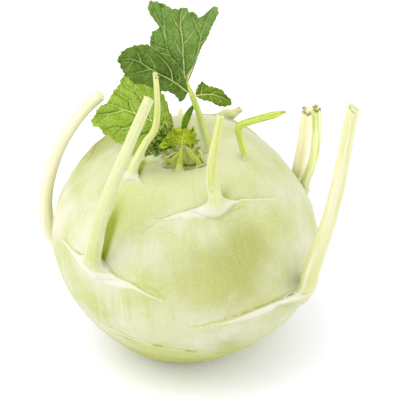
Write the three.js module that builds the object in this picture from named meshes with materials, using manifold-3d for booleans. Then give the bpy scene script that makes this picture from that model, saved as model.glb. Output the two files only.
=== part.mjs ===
// A kohlrabi: the swollen stem of the plant, standing on its small flat root cut, with the trimmed
// leaf stalks that grow from it and the few young leaves of its crown.
//
// Millimetres, +Z up. The origin is the middle of the flat root cut, the object's front faces -Y.
// A place on the bulb is given by its turn (degrees around the stem, from +X towards +Y) and its
// rise (degrees above the widest level), seen from the bulb's middle.

import * as THREE from 'three';
import { mergeVertices } from 'three/addons/utils/BufferGeometryUtils.js';
import Module from 'manifold-3d';

const wasm = await Module();
wasm.setup();

const { clamp, degToRad, euclideanModulo, lerp, radToDeg, smoothstep } = THREE.MathUtils;

// ---- driving dimensions -------------------------------------------------------------------------

const BULB_RADIUS = 46;
const BULB_MIDDLE_HEIGHT = 44.5;
const BULB_SIDES = 78;
const BULB_ROWS = 38;

// The dent in the bulb's top, out of which the youngest leaves grow.
const CROWN = { x: -0.5, y: -8, spread: 13, depth: 7.5 };

const SCAR_EDGE = 2.4;
const SCAR_APRON = 8;

const ROOT_DEPTH = 4;
const ROOT_LIFT = 1;
const GAP = 0.3;
const STALK_SIDES = 10;
const STALK_STEPS = 12;

const BLADE_THICKNESS = 0.8;
const BLADE_START = 0.07;
const TOOTH_DEPTH = 0.035;

// ---- colours ------------------------------------------------------------------------------------

const FINISHES = {
  skin: { color: 0xdbe2a6, roughness: 0.45 },
  creamStalk: { color: 0xeeeeca, roughness: 0.5 },
  greenStalk: { color: 0xd3e08a, roughness: 0.5 },
  brightStalk: { color: 0xb9d23c, roughness: 0.5 },
  leaf: { color: 0x5f9a35, roughness: 0.55 },
  lowLeaf: { color: 0x78ab3a, roughness: 0.55 },
  heartLeaf: { color: 0xa3c21f, roughness: 0.6 },
  curlyLeaf: { color: 0x3f7a2f, roughness: 0.6 },
};

// ---- leaf scars: clasping leaf bases that cross the skin as arcs, given by ends and middle -------

const SCARS = [
  { name: 'front', from: [-112, 40], middle: [-71, 43], to: [-26, 39], height: 1.5 },
  { name: 'front_left', from: [-160, 13], middle: [-131, 15], to: [-97, 7], height: 1.5 },
  { name: 'far_right', from: [-84, -6], middle: [-36, -4], to: [-6, 0], height: 1.7 },
  { name: 'thin_left', from: [-168, 54], middle: [-144, 57], to: [-122, 55], height: 0.8 },
  { name: 'bent', from: [-48, 59], middle: [-21, 60], to: [4, 58], height: 0.7 },
  { name: 'left', from: [128, -15], middle: [163, -17], to: [188, -16], height: 1.4 },
  { name: 'right_pair', from: [2, 8], middle: [26, 9], to: [58, 9], height: 1.4 },
  { name: 'back_right', from: [36, 39], middle: [66, 40], to: [98, 42], height: 1.2 },
  { name: 'low_front', from: [-152, -14], middle: [-103, -21], to: [-52, -33], height: 0.8 },
  { name: 'high_back', from: [82, 13], middle: [116, 15], to: [148, 14], height: 1.3 },
  { name: 'low_back', from: [28, -17], middle: [66, -19], to: [104, -18], height: 1.2 },
  { name: 'crown_lip', from: [-134, 70], middle: [-95, 69], to: [-56, 69], height: 0.7 },
];

// ---- stalks: root as [turn, rise], then the free path; widths and depths as [along, mm] ----------

const STALKS = [
  {
    name: 'stalk_front_left', finish: 'creamStalk', root: [-131, 16],
    path: [
      [-29.5, -39, 69], [-27, -40.5, 80.4], [-23.3, -39.5, 91.7], [-18.3, -36, 103.4],
      [-11.6, -30, 119.5],
    ],
    wide: [[0, 11], [0.08, 10], [0.16, 5.6], [0.5, 5], [0.75, 4.2], [1, 3.8]],
    deep: [[0, 5], [0.2, 4.6], [0.75, 4], [1, 3.6]],
  },
  {
    name: 'stalk_front', finish: 'creamStalk', root: [-71, 46],
    path: [[9.9, -32.5, 84], [9, -33, 91], [9.3, -32, 99], [10.6, -30, 106], [11.6, -28, 111.5]],
    wide: [[0, 13], [0.12, 12], [0.26, 5], [0.45, 4.4], [0.65, 3.2], [1, 3]],
    deep: [[0, 6], [0.2, 4.6], [0.45, 4], [0.7, 3], [1, 2.8]],
  },
  {
    name: 'stalk_far_right', finish: 'creamStalk', root: [-34, -3],
    path: [
      [43.2, -32, 51.6], [45.3, -34.5, 62.5], [47.3, -36.5, 74.1], [48.6, -38, 85.1],
      [49.7, -39, 95.6], [50.7, -39.5, 105.6], [52, -39, 114.8], [53.6, -38, 120.9],
    ],
    wide: [[0, 13], [0.07, 12], [0.16, 6.8], [0.5, 5.1], [1, 4.3]],
    deep: [[0, 6], [0.16, 5.4], [0.5, 4.6], [1, 4]],
  },
  {
    name: 'stalk_left', finish: 'creamStalk', root: [163, -16],
    path: [
      [-49.8, 15.6, 35], [-51.4, 15, 45.4], [-50.7, 14, 57], [-47.4, 12.5, 72.8],
      [-42.6, 11.5, 84.7], [-36.2, 10.5, 93.5], [-30.8, 10, 98.6],
    ],
    wide: [[0, 12], [0.07, 11], [0.15, 5.8], [0.6, 5.2], [1, 5]],
    deep: [[0, 5], [0.15, 4.8], [0.6, 4.5], [1, 4.2]],
  },
  {
    name: 'stalk_thin_left', finish: 'greenStalk', root: [-141, 58],
    path: [
      [-16.6, -15, 86.6], [-15.1, -15.8, 90.6], [-13, -16.2, 95], [-10.6, -16.8, 99.3],
      [-9.4, -17, 106], [-9.4, -17, 113.3], [-9.9, -16, 121],
    ],
    wide: [[0, 8], [0.1, 7], [0.2, 3.4], [0.5, 2.6], [1, 2]],
    deep: [[0, 4], [0.22, 3], [0.5, 2.4], [1, 1.9]],
  },
  {
    name: 'stalk_bent', finish: 'brightStalk', root: [-23, 61],
    path: [
      [19.4, -10, 88.6], [18.6, -10.9, 93], [18.6, -11.6, 97], [20.4, -12, 99.3],
      [26, -12.2, 101.9], [33, -12.5, 104.2],
    ],
    wide: [[0, 5.4], [0.14, 4.4], [0.26, 2.5], [1, 2.3]],
    deep: [[0, 3], [0.26, 2.2], [1, 2]],
  },
  {
    name: 'stalk_right_pale', finish: 'creamStalk', root: [35, 7],
    path: [[41.4, 22.5, 60], [42, 21.5, 72], [42.9, 20, 85.9]],
    wide: [[0, 10], [0.12, 9], [0.26, 4.6], [1, 4]],
    deep: [[0, 4.5], [0.26, 4], [1, 3.6]],
  },
  {
    name: 'stalk_right_green', finish: 'greenStalk', root: [17, 10],
    path: [[45.6, 14, 59.8], [46.7, 13.8, 68.5], [46.8, 13, 79.6], [46.4, 12, 91.3]],
    wide: [[0, 8], [0.12, 7], [0.26, 3.8], [1, 3.2]],
    deep: [[0, 4], [0.26, 3.4], [1, 3]],
  },
  {
    name: 'stalk_back_right', finish: 'creamStalk', root: [62, 40], steps: 8,
    path: [[17.3, 31.4, 76.6], [19.6, 32, 79.4]],
    wide: [[0, 11], [0.4, 8], [0.75, 4.2], [1, 3.2]],
    deep: [[0, 4], [0.5, 2.8], [1, 2]],
  },
  {
    name: 'stalk_back_left', finish: 'greenStalk', root: [94, 46], steps: 6,
    path: [[-2.4, 33, 78.6]],
    wide: [[0, 3.6], [0.6, 2.4], [1, 1.8]],
    deep: [[0, 2.6], [1, 1.6]],
  },
  {
    name: 'tall_leaf_stalk', finish: 'greenStalk', root: [-34, 77],
    path: [[6.5, -5.2, 91], [4.3, -5, 100], [2.1, -4.6, 106.5], [0.4, -4, 111.2]],
    wide: [[0, 4.8], [0.16, 4], [0.3, 3], [0.8, 2.4], [1, 1.6]],
    deep: [[0, 3.4], [0.3, 2.8], [0.8, 2.2], [1, 1.5]],
  },
  {
    name: 'low_leaf_stalk', finish: 'brightStalk', root: [166, 84], steps: 8,
    path: [[-4, -1.5, 88.4], [-3.9, -4.3, 91.2]],
    wide: [[0, 3.4], [0.5, 2.6], [1, 2.2]],
    deep: [[0, 3], [1, 2]],
  },
  {
    name: 'heart_stalk_middle', finish: 'greenStalk', root: [-99, 71], steps: 8,
    path: [[-1.9, -14, 85.5], [-1.5, -14, 90.4]],
    wide: [[0, 3.4], [0.4, 1.8], [1, 1.5]],
    deep: [[0, 2.4], [0.4, 1.6], [1, 1.4]],
  },
  {
    name: 'heart_stalk_left', finish: 'greenStalk', root: [-132, 75], steps: 8,
    path: [[-6, -9.4, 85], [-4, -12, 88.8]],
    wide: [[0, 2.8], [0.4, 1.5], [1, 1.3]],
    deep: [[0, 2], [1, 1.2]],
  },
  {
    name: 'heart_stalk_right', finish: 'greenStalk', root: [-70, 71], steps: 8,
    path: [[3.8, -13.2, 86.2], [1.8, -13.6, 89.8]],
    wide: [[0, 2.8], [0.4, 1.5], [1, 1.3]],
    deep: [[0, 2], [1, 1.2]],
  },
  {
    name: 'rolled_leaf', finish: 'curlyLeaf', root: [150, 89], steps: 10,
    path: [[-0.9, -3.6, 90], [-0.6, -5, 95], [0.8, -4, 98.2], [2.7, -2, 100.3]],
    wide: [[0, 2], [0.45, 1.8], [0.7, 2.8], [0.88, 2.2], [1, 1]],
    deep: [[0, 2], [0.45, 1.8], [0.7, 2.2], [0.88, 1.7], [1, 0.9]],
  },
];

// ---- blades: fans spread from the end of a stalk ------------------------------------------------
// A fan lies in an upright sheet facing the front, turned by yaw and leaning back by lean degrees.
// Its outline is a list of [angle from straight up, reach in mm], angles growing clockwise.

const BLADES = [
  {
    name: 'tall_leaf_blade', finish: 'leaf', base: [0.5, -4, 110.2], yaw: 0, lean: 17,
    rows: 8, teeth: 9,
    outline: [
      [-60, 9], [-51, 14.5], [-44, 18], [-39, 20.5], [-34, 22], [-29, 20.3], [-27, 27],
      [-25, 31], [-20, 29.4], [-15, 28.2], [-11, 26.2], [-3, 26.4], [2, 25], [9, 22.4],
      [14, 24.6], [20, 28], [22, 26.2], [23.5, 21], [25, 14],
    ],
    bend: (angle, share) => 1.1 * share * share * Math.sin(degToRad(angle * 7)) - 1.5 * share * share,
  },
  {
    name: 'tall_leaf_left_lobe', finish: 'leaf', base: [0.8, -4.5, 107.3], yaw: 12, lean: 0,
    rows: 7, teeth: 9,
    outline: [
      [-8, 4.8], [-14, 10], [-20, 14], [-27, 17.5], [-32, 21], [-38, 26], [-45, 28], [-51, 29.4],
      [-56, 29.2], [-61, 26.5], [-66, 23], [-70, 18.5], [-75, 12.5], [-82, 9], [-95, 5.6],
      [-125, 5.2], [-140, 4.2],
    ],
    bend: (angle, share) => {
      const fold = 3 * smoothstep(angle, -55, -10);
      return share * (fold + 1.2 * Math.sin(degToRad(angle * 5)));
    },
  },
  {
    name: 'tall_leaf_right_lobe', finish: 'leaf', base: [3.1, -4.5, 107.3], yaw: 0, lean: 10,
    rows: 5, teeth: 4,
    outline: [
      [21, 2.3], [35, 4.4], [53, 4.6], [73, 6.5], [85, 9.3], [94, 10.8], [100, 12.3], [106, 13.1],
      [113, 12.8], [119, 10.8], [124, 7], [134, 4.2], [147, 2.2],
    ],
    bend: (angle, share) => 0.8 * share * Math.cos(degToRad((angle - 100) * 4)),
  },
  {
    name: 'low_leaf_blade', finish: 'lowLeaf', base: [-4, -5.4, 91.8], yaw: -14, lean: 22,
    rows: 8, teeth: 12,
    outline: [
      [4, 2.5], [-5, 5], [-13, 8], [-17, 12], [-22, 15], [-27, 18.5], [-33, 23.5], [-39, 27],
      [-47, 27.2], [-55, 26], [-63, 26], [-71, 26], [-76, 27.5], [-83, 29], [-88, 30],
      [-93, 29], [-98, 25.5], [-105, 22], [-112, 19.5], [-119, 18], [-124, 16], [-130, 9],
    ],
    bend: (angle, share) => 1.2 * share * share * Math.sin(degToRad(angle * 6)),
  },
  {
    name: 'heart_leaf_light', finish: 'heartLeaf', base: [-1.5, -14.2, 91.4], yaw: 0, lean: -10,
    rows: 5, teeth: 7,
    outline: [
      [-88, 6.4], [-72, 7.4], [-52, 8.8], [-35, 9.6], [-23, 10.2], [-12, 10.6], [-2, 9.6],
      [12, 9.2], [22, 9.4], [38, 7.6], [52, 6.2], [72, 4],
    ],
    bend: (angle, share) => 1.5 * share * share + 0.6 * share * Math.sin(degToRad(angle * 8)),
  },
  {
    name: 'heart_leaf_dark', finish: 'curlyLeaf', base: [-4.3, -11.6, 90.4], yaw: 0, lean: -5,
    rows: 5, teeth: 7,
    outline: [
      [-15, 7.6], [-32, 8], [-52, 8], [-70, 7.6], [-88, 8.2], [-102, 9.4], [-112, 11.2],
      [-120, 10.4], [-130, 8.4], [-138, 5],
    ],
    bend: (angle, share) => 0.7 * share * Math.sin(degToRad(angle * 9)) - 0.8 * share,
  },
];

// ---- the bulb's skin ----------------------------------------------------------------------------

function turnBetween(first, second) {
  return euclideanModulo(second - first + 180, 360) - 180;
}

// The rise of a scar's line at a turn: the parabola through its two ends and its middle.
function scarRise(scar, turn) {
  const place = turnBetween(scar.middle[0], turn);
  const start = turnBetween(scar.middle[0], scar.from[0]);
  const end = turnBetween(scar.middle[0], scar.to[0]);
  const startShare = (place * (place - end)) / (start * (start - end));
  const endShare = (place * (place - start)) / (end * (end - start));
  const middleShare = 1 - startShare - endShare;
  return scar.from[1] * startShare + scar.middle[1] * middleShare + scar.to[1] * endShare;
}

// A scar is a ledge: it drops off short above its line and runs out slowly below it.
function scarRelief(scar, turn, rise) {
  const place = turnBetween(scar.middle[0], turn);
  const reach = turnBetween(scar.middle[0], place < 0 ? scar.from[0] : scar.to[0]);
  const along = place / reach;
  if (along >= 1) return 0;
  const fade = 1 - along * along;
  const above = degToRad(rise - scarRise(scar, turn)) * BULB_RADIUS;
  const width = above > 0 ? SCAR_EDGE : SCAR_EDGE + SCAR_APRON * fade;
  return scar.height * fade * Math.exp(-((above / width) ** 2));
}

function bulbRadius(turn, rise) {
  const around = degToRad(turn);
  const up = degToRad(rise);
  const squareness = 0.75 * Math.cos(2 * up) + 1.25 * Math.cos(4 * up);
  const topToBottom = 0.3 * Math.sin(3 * up) - 0.7 * Math.sin(up);
  const leftToRight = (0.2 * Math.sin(2 * up) - 1.25 * Math.sin(4 * up)) * Math.cos(around);
  const smooth = BULB_RADIUS + squareness + topToBottom + leftToRight;

  const eastOfCrown = smooth * Math.cos(up) * Math.cos(around) - CROWN.x;
  const northOfCrown = smooth * Math.cos(up) * Math.sin(around) - CROWN.y;
  const fromCrown = Math.hypot(eastOfCrown, northOfCrown) / CROWN.spread;
  const dent = rise > 0 ? CROWN.depth * Math.exp(-(fromCrown ** 2)) : 0;

  const relief = SCARS.reduce((sum, scar) => sum + scarRelief(scar, turn, rise), 0);
  return smooth - dent + relief;
}

function onBulb(turn, rise, lift) {
  const around = degToRad(turn);
  const up = degToRad(rise);
  const radius = bulbRadius(turn, rise) + lift;
  return new THREE.Vector3(
    radius * Math.cos(up) * Math.cos(around),
    radius * Math.cos(up) * Math.sin(around),
    radius * Math.sin(up) + BULB_MIDDLE_HEIGHT,
  );
}

// ---- solids -------------------------------------------------------------------------------------

function toSolid(geometry) {
  geometry.deleteAttribute('normal');
  geometry.deleteAttribute('uv');
  const merged = mergeVertices(geometry, 1e-4);
  return new wasm.Manifold(new wasm.Mesh({
    numProp: 3,
    vertProperties: new Float32Array(merged.attributes.position.array),
    triVerts: new Uint32Array(merged.index.array),
  }));
}

function toGeometry(solid) {
  const mesh = solid.getMesh();
  const geometry = new THREE.BufferGeometry();
  geometry.setAttribute('position', new THREE.BufferAttribute(mesh.vertProperties, 3));
  geometry.setIndex(new THREE.BufferAttribute(mesh.triVerts, 1));
  geometry.computeVertexNormals();
  return geometry;
}

function moveVertices(geometry, move) {
  const places = geometry.attributes.position;
  const point = new THREE.Vector3();
  for (let i = 0; i < places.count; i += 1) {
    point.fromBufferAttribute(places, i);
    move(point);
    places.setXYZ(i, point.x, point.y, point.z);
  }
  return geometry;
}

// The body with the most material, when a cut has left loose scraps.
function largestBody(solid) {
  const bodies = solid.decompose();
  return bodies.reduce((best, body) => (body.volume() > best.volume() ? body : best));
}

function bulbBody() {
  const sphere = new THREE.SphereGeometry(1, BULB_SIDES, BULB_ROWS).rotateX(Math.PI / 2);
  const skin = moveVertices(sphere, (point) => {
    const turn = radToDeg(Math.atan2(point.y, point.x));
    const rise = radToDeg(Math.asin(clamp(point.z, -1, 1)));
    point.copy(onBulb(turn, rise, 0));
  });
  const groundSize = 4 * BULB_RADIUS;
  const ground = new THREE.BoxGeometry(groundSize, groundSize, groundSize);
  return toSolid(skin).subtract(toSolid(ground.translate(0, 0, -groundSize / 2)));
}

// The value at a place along 0..1 of a list of [place, value] pairs, eased between them.
function profile(pairs, along) {
  const next = pairs.findIndex(([place]) => place >= along);
  if (next < 0) return pairs.at(-1)[1];
  if (next === 0) return pairs[0][1];
  const [startPlace, startValue] = pairs[next - 1];
  const [endPlace, endValue] = pairs[next];
  return lerp(startValue, endValue, smoothstep(along, startPlace, endPlace));
}

// The tube of a stalk, all round larger by the given amount: 0 for the stalk, more for its socket.
function stalkBody(stalk, grow) {
  const [turn, rise] = stalk.root;
  const buried = [onBulb(turn, rise, -ROOT_DEPTH), onBulb(turn, rise, ROOT_LIFT)];
  const free = stalk.path.map((place) => new THREE.Vector3(...place));
  const curve = new THREE.CatmullRomCurve3([...buried, ...free], false, 'centripetal');
  const around = new THREE.Vector3(-Math.sin(degToRad(turn)), Math.cos(degToRad(turn)), 0);
  const tube = new THREE.CylinderGeometry(1, 1, 1, STALK_SIDES, stalk.steps ?? STALK_STEPS);

  return toSolid(moveVertices(tube, (point) => {
    const along = clamp(point.y + 0.5, 0, 1);
    const forward = curve.getTangentAt(along);
    const inward = new THREE.Vector3().crossVectors(around, forward).normalize();
    const side = new THREE.Vector3().crossVectors(forward, inward);
    const wide = (profile(stalk.wide, along) / 2 + grow) * point.x;
    const deep = (profile(stalk.deep, along) / 2 + grow) * point.z;
    const endShift = grow * (Number(along > 0.999) - Number(along < 0.001));
    point.copy(curve.getPointAt(along)).addScaledVector(forward, endShift);
    point.addScaledVector(side, wide).addScaledVector(inward, deep);
  }));
}

// Closes a sheet of rows and columns into a thin solid, split into triangles alike on both faces.
function thicken(sheet, columns, rows, thickness) {
  sheet.computeVertexNormals();
  const places = sheet.attributes.position;
  const normals = sheet.attributes.normal;
  const faces = [...sheet.index.array];
  const positions = [1, -1].flatMap((face) => Array.from({ length: places.count }, (_, i) => {
    const lift = new THREE.Vector3().fromBufferAttribute(normals, i);
    const point = new THREE.Vector3().fromBufferAttribute(places, i);
    return point.addScaledVector(lift, (face * thickness) / 2).toArray();
  })).flat();

  const under = places.count;
  const index = [...faces];
  for (let i = 0; i < faces.length; i += 3) {
    index.push(faces[i] + under, faces[i + 2] + under, faces[i + 1] + under);
  }

  const at = (column, row) => row * (columns + 1) + column;
  const rim = [];
  for (let column = 0; column < columns; column += 1) rim.push(at(column, rows));
  for (let row = rows; row > 0; row -= 1) rim.push(at(columns, row));
  for (let column = columns; column > 0; column -= 1) rim.push(at(column, 0));
  for (let row = 0; row < rows; row += 1) rim.push(at(0, row));
  rim.forEach((here, i) => {
    const next = rim[(i + 1) % rim.length];
    index.push(here, here + under, next + under, here, next + under, next);
  });

  const solid = new THREE.BufferGeometry();
  solid.setAttribute('position', new THREE.Float32BufferAttribute(positions, 3));
  solid.setIndex(index);
  return solid;
}

// How far a blade reaches at an angle: its outline, cut into saw teeth that lean outwards.
function bladeReach(blade, angle) {
  const outline = [...blade.outline].sort((first, second) => first[0] - second[0]);
  const next = Math.max(1, outline.findIndex(([place]) => place >= angle));
  const [startAngle, startReach] = outline[next - 1];
  const [endAngle, endReach] = outline[next];
  const share = clamp((angle - startAngle) / (endAngle - startAngle), 0, 1);
  const span = outline.at(-1)[0] - outline[0][0];
  const tooth = euclideanModulo(((angle - outline[0][0]) / span) * blade.teeth, 1);
  const sawtooth = Math.abs(tooth - 0.4) * 2 - 0.6;
  return lerp(startReach, endReach, share) * (1 - TOOTH_DEPTH * sawtooth);
}

function bladeBody(blade) {
  const columns = blade.teeth * 3;
  const angles = blade.outline.map(([angle]) => angle);
  const first = Math.min(...angles);
  const last = Math.max(...angles);
  const sheet = new THREE.PlaneGeometry(1, 1, columns, blade.rows);
  moveVertices(sheet, (point) => {
    const angle = lerp(first, last, clamp(point.x + 0.5, 0, 1));
    const share = lerp(BLADE_START, 1, clamp(point.y + 0.5, 0, 1));
    const distance = share * bladeReach(blade, angle);
    const radians = degToRad(angle);
    point.set(distance * Math.sin(radians), distance * Math.cos(radians), blade.bend(angle, share));
  });
  return toSolid(thicken(sheet, columns, blade.rows, BLADE_THICKNESS));
}

// ---- the plant ----------------------------------------------------------------------------------

function meshOf(name, finishName, solid) {
  const material = new THREE.MeshStandardMaterial({ ...FINISHES[finishName], metalness: 0 });
  const mesh = new THREE.Mesh(toGeometry(solid), material);
  mesh.name = name;
  return mesh;
}

function placeBlade(mesh, blade) {
  mesh.rotation.order = 'ZYX';
  mesh.rotation.set(degToRad(90 - blade.lean), 0, degToRad(blade.yaw));
  mesh.position.set(...blade.base);
  mesh.updateMatrix();
}

// A blade's mesh, cut back to leave the given gap round every stalk.
function bladeMesh(blade, clearings) {
  const place = new THREE.Object3D();
  placeBlade(place, blade);
  const toBlade = place.matrix.clone().invert();
  const cutters = clearings.map((solid) => toSolid(toGeometry(solid).applyMatrix4(toBlade)));
  const cut = cutters.reduce((body, cutter) => body.subtract(cutter), bladeBody(blade));
  const mesh = meshOf(blade.name, blade.finish, largestBody(cut));
  placeBlade(mesh, blade);
  return mesh;
}

const sockets = STALKS.map((stalk) => stalkBody(stalk, GAP));
const bulb = sockets.reduce((body, socket) => body.subtract(socket), bulbBody());

const kohlrabi = new THREE.Group();
kohlrabi.add(meshOf('bulb', 'skin', largestBody(bulb)));
STALKS.forEach((stalk) => {
  kohlrabi.add(meshOf(stalk.name, stalk.finish, stalkBody(stalk, 0)));
});
BLADES.forEach((blade) => {
  kohlrabi.add(bladeMesh(blade, sockets));
});

export default kohlrabi;
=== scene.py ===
"""A kohlrabi: the swollen stem with its clasping leaf bases, trimmed stalks and young crown leaves.

Lengths and places are millimetres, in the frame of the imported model, and become metres where a mesh
is made. A place on the bulb is a turn, in degrees round the stem from +X towards +Y, and a rise, in
degrees above the bulb's widest level.
"""

import math
import random
from collections import namedtuple

import bpy
import numpy as np
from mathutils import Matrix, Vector, noise


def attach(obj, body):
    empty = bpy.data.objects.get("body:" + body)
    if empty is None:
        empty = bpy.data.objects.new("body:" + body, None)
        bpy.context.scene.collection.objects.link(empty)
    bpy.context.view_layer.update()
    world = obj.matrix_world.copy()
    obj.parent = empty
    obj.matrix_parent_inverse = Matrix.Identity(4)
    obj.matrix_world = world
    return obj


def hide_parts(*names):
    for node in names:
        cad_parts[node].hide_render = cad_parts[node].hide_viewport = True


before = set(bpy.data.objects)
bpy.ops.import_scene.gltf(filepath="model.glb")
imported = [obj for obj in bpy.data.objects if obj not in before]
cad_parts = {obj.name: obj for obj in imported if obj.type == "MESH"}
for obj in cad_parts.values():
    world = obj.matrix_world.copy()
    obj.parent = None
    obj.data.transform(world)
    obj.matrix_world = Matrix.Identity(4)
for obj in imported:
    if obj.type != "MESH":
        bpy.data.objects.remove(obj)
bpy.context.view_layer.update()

MM = 0.001
BODY = "root"
SEED = 7
# How finely a smooth line is worked out between two of its points.
CURVE_STEPS = 40

# ---- the camera and the light -------------------------------------------------------------------

CAMERA_PLACE = (4.95, -579.8, 437.0)
CAMERA_TILT = 57.0
CAMERA_LENS = 174.5
SENSOR_WIDTH = 36
SKY_STRENGTH = 1.15
# Round lamps that face LAMP_TARGET: place, width and power.
LAMPS = {
    "key": ((-600, -250, 1250), 1200, 7.0),
    "left": ((-1150, -250, 420), 1100, 2.6),
    "right": ((1200, 100, 420), 1100, 4.0),
    "front": ((-300, -1350, 600), 1200, 3.6),
}
LAMP_TARGET = (0, 0, 60)
# How much light a surface must return to show as its own colour in this light.
SURFACE_LEVEL = 0.69
FLOOR_SIZE = 6000

# ---- the bulb -----------------------------------------------------------------------------------

BULB_RADIUS = 46.0
BULB_MIDDLE_HEIGHT = 44.5
BULB_MIDDLE = np.array([0, 0, BULB_MIDDLE_HEIGHT])
BULB_COLUMNS = 400
BULB_ROWS = 240
CROWN_X, CROWN_Y = -0.5, -8.0
CROWN_SPREAD = 13.0
CROWN_DEPTH = 7.5

# A leaf scar is the line of a clasping leaf base, by its start, middle and end as (turn, rise).
# height is that of its ledge, and mark how clearly it is drawn. Under the line the leaf base's skin
# is pale: pale says how deep in the middle, and how far it reaches left and right as shares.
Scar = namedtuple("Scar", "start middle end height mark pale")
SCARS = {
    "front": Scar((-112, 39), (-71, 47), (-26, 38), 0.9, 1, (4.8, 0.8, 0.32)),
    "front_left": Scar((-160, 13), (-131, 15), (-97, 7), 1.1, 1, (5.6, 0.6, 0.75)),
    "far_right": Scar((-88, -6.5), (-58, -0.9), (-4, -8), 1.7, 0.9, (3.2, 0.7, 0.9)),
    "thin_left": Scar((-168, 54), (-144, 57), (-122, 55), 0.4, 0.5, (3.8, 0.6, 0.8)),
    "bent": Scar((-48, 59), (-21, 60), (4, 58), 0.1, 0.04, (0, 0.3, 0.3)),
    "left": Scar((128, -16), (163, -19), (188, -17), 1.3, 1, (6, 0.7, 0.7)),
    "right_pair": Scar((8, 8), (30, 9), (58, 9), 0.6, 1, (6, 0.7, 0.7)),
    "back_right": Scar((36, 42), (66, 44), (100, 53), 1.8, 1, (5, 0.7, 0.7)),
    "shoulder": Scar((126, 46), (155, 42.5), (-174, 26), 2.3, 0.3, (0, 0.5, 0.5)),
    "low_front": Scar((-152, -14), (-103, -21), (-52, -33), 0.35, 0.5, (0, 0.5, 0.5)),
    "high_back": Scar((82, 13), (116, 15), (148, 14), 1.1, 0.8, (3, 0.6, 0.6)),
    "low_back": Scar((28, -17), (66, -19), (104, -18), 1, 0.8, (2.5, 0.6, 0.6)),
    "crown_lip": Scar((-134, 70), (-95, 69), (-56, 69), 0.5, 0, (0, 0.5, 0.5)),
}
# How far a ledge reaches above its line, and how much farther below it, and the raised lip on it.
EDGE_WIDTH = 0.9
APRON = 7.0
LIP_HEIGHT = 0.28
LIP_WIDTH = 0.6
# How the line wanders: height and pace of two waves along it.
LINE_WAVES = [(0.35, 0.19), (0.22, 0.43)]
# How strongly the mesh's rows are drawn to the scar lines, and from how far.
GATHER_SHARE = 0.72
GATHER_REACH = 3.4

# The skin's soft unevenness: height, size and seed of its lumps. Then its fine upright streaks.
SKIN_LUMPS = [(0.35, 16, 1), (0.1, 5, 2)]
STREAK_HEIGHT = 0.16
STREAK_LENGTH = 40
STREAKS_ROUND = 9
STREAK_SEED = 3

# Soft upright pleats in the skin: middle (turn, rise), half widths in degrees, how many degrees from
# one to the next, and depth.
PLEATS = [((-124, -3), (24, 13), 7.5, 0.36), ((-80, 28), (20, 12), 11, 0.2),
          ((-36, 20), (18, 20), 9.5, 0.16), ((-20, -12), (22, 14), 8, 0.2),
          ((60, 10), (40, 24), 9, 0.16), ((150, 20), (34, 24), 10, 0.16)]

# Low swellings of the bulb: middle (turn, rise), half widths in degrees, and height.
SWELLS = [((-172, -27), (34, 15), 0.8)]

# Soft patches of the skin's colour, each with its middle, spread and strength: where it has a
# pinkish bloom, where it is olive and where it is a fresher green. The bloom patches on the left
# flank, with x from -40 to -46, are painted light: a paler flank where the light wraps round it.
BLOOM_AND_EDGE_LIGHT = [((-46, -4, 52), 12, 0.5), ((41, -20, 58), 16, 0.35), ((29, -8, 78), 16, 0.2),
          ((-45, -8, 60), 14, 0.8), ((36, 28, 50), 18, 0.6), ((-30, 32, 60), 14, 0.5),
          ((-32, -30, 50), 8, 0.4), ((-40, -20, 66), 18, 0.8), ((-42, -22, 44), 12, 0.5)]
OLIVE_PATCHES = [((16, -41, 56), 23, 0.95), ((21, -34, 66), 14, 0.6), ((30, -36, 36), 13, 0.3),
                 ((-2, -44, 58), 22, 0.5), ((14, -42, 27), 14, 0.7)]
FRESH_PATCHES = [((-4, -26, 82), 13, 1), ((6, -44, 52), 16, 1)]

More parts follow.
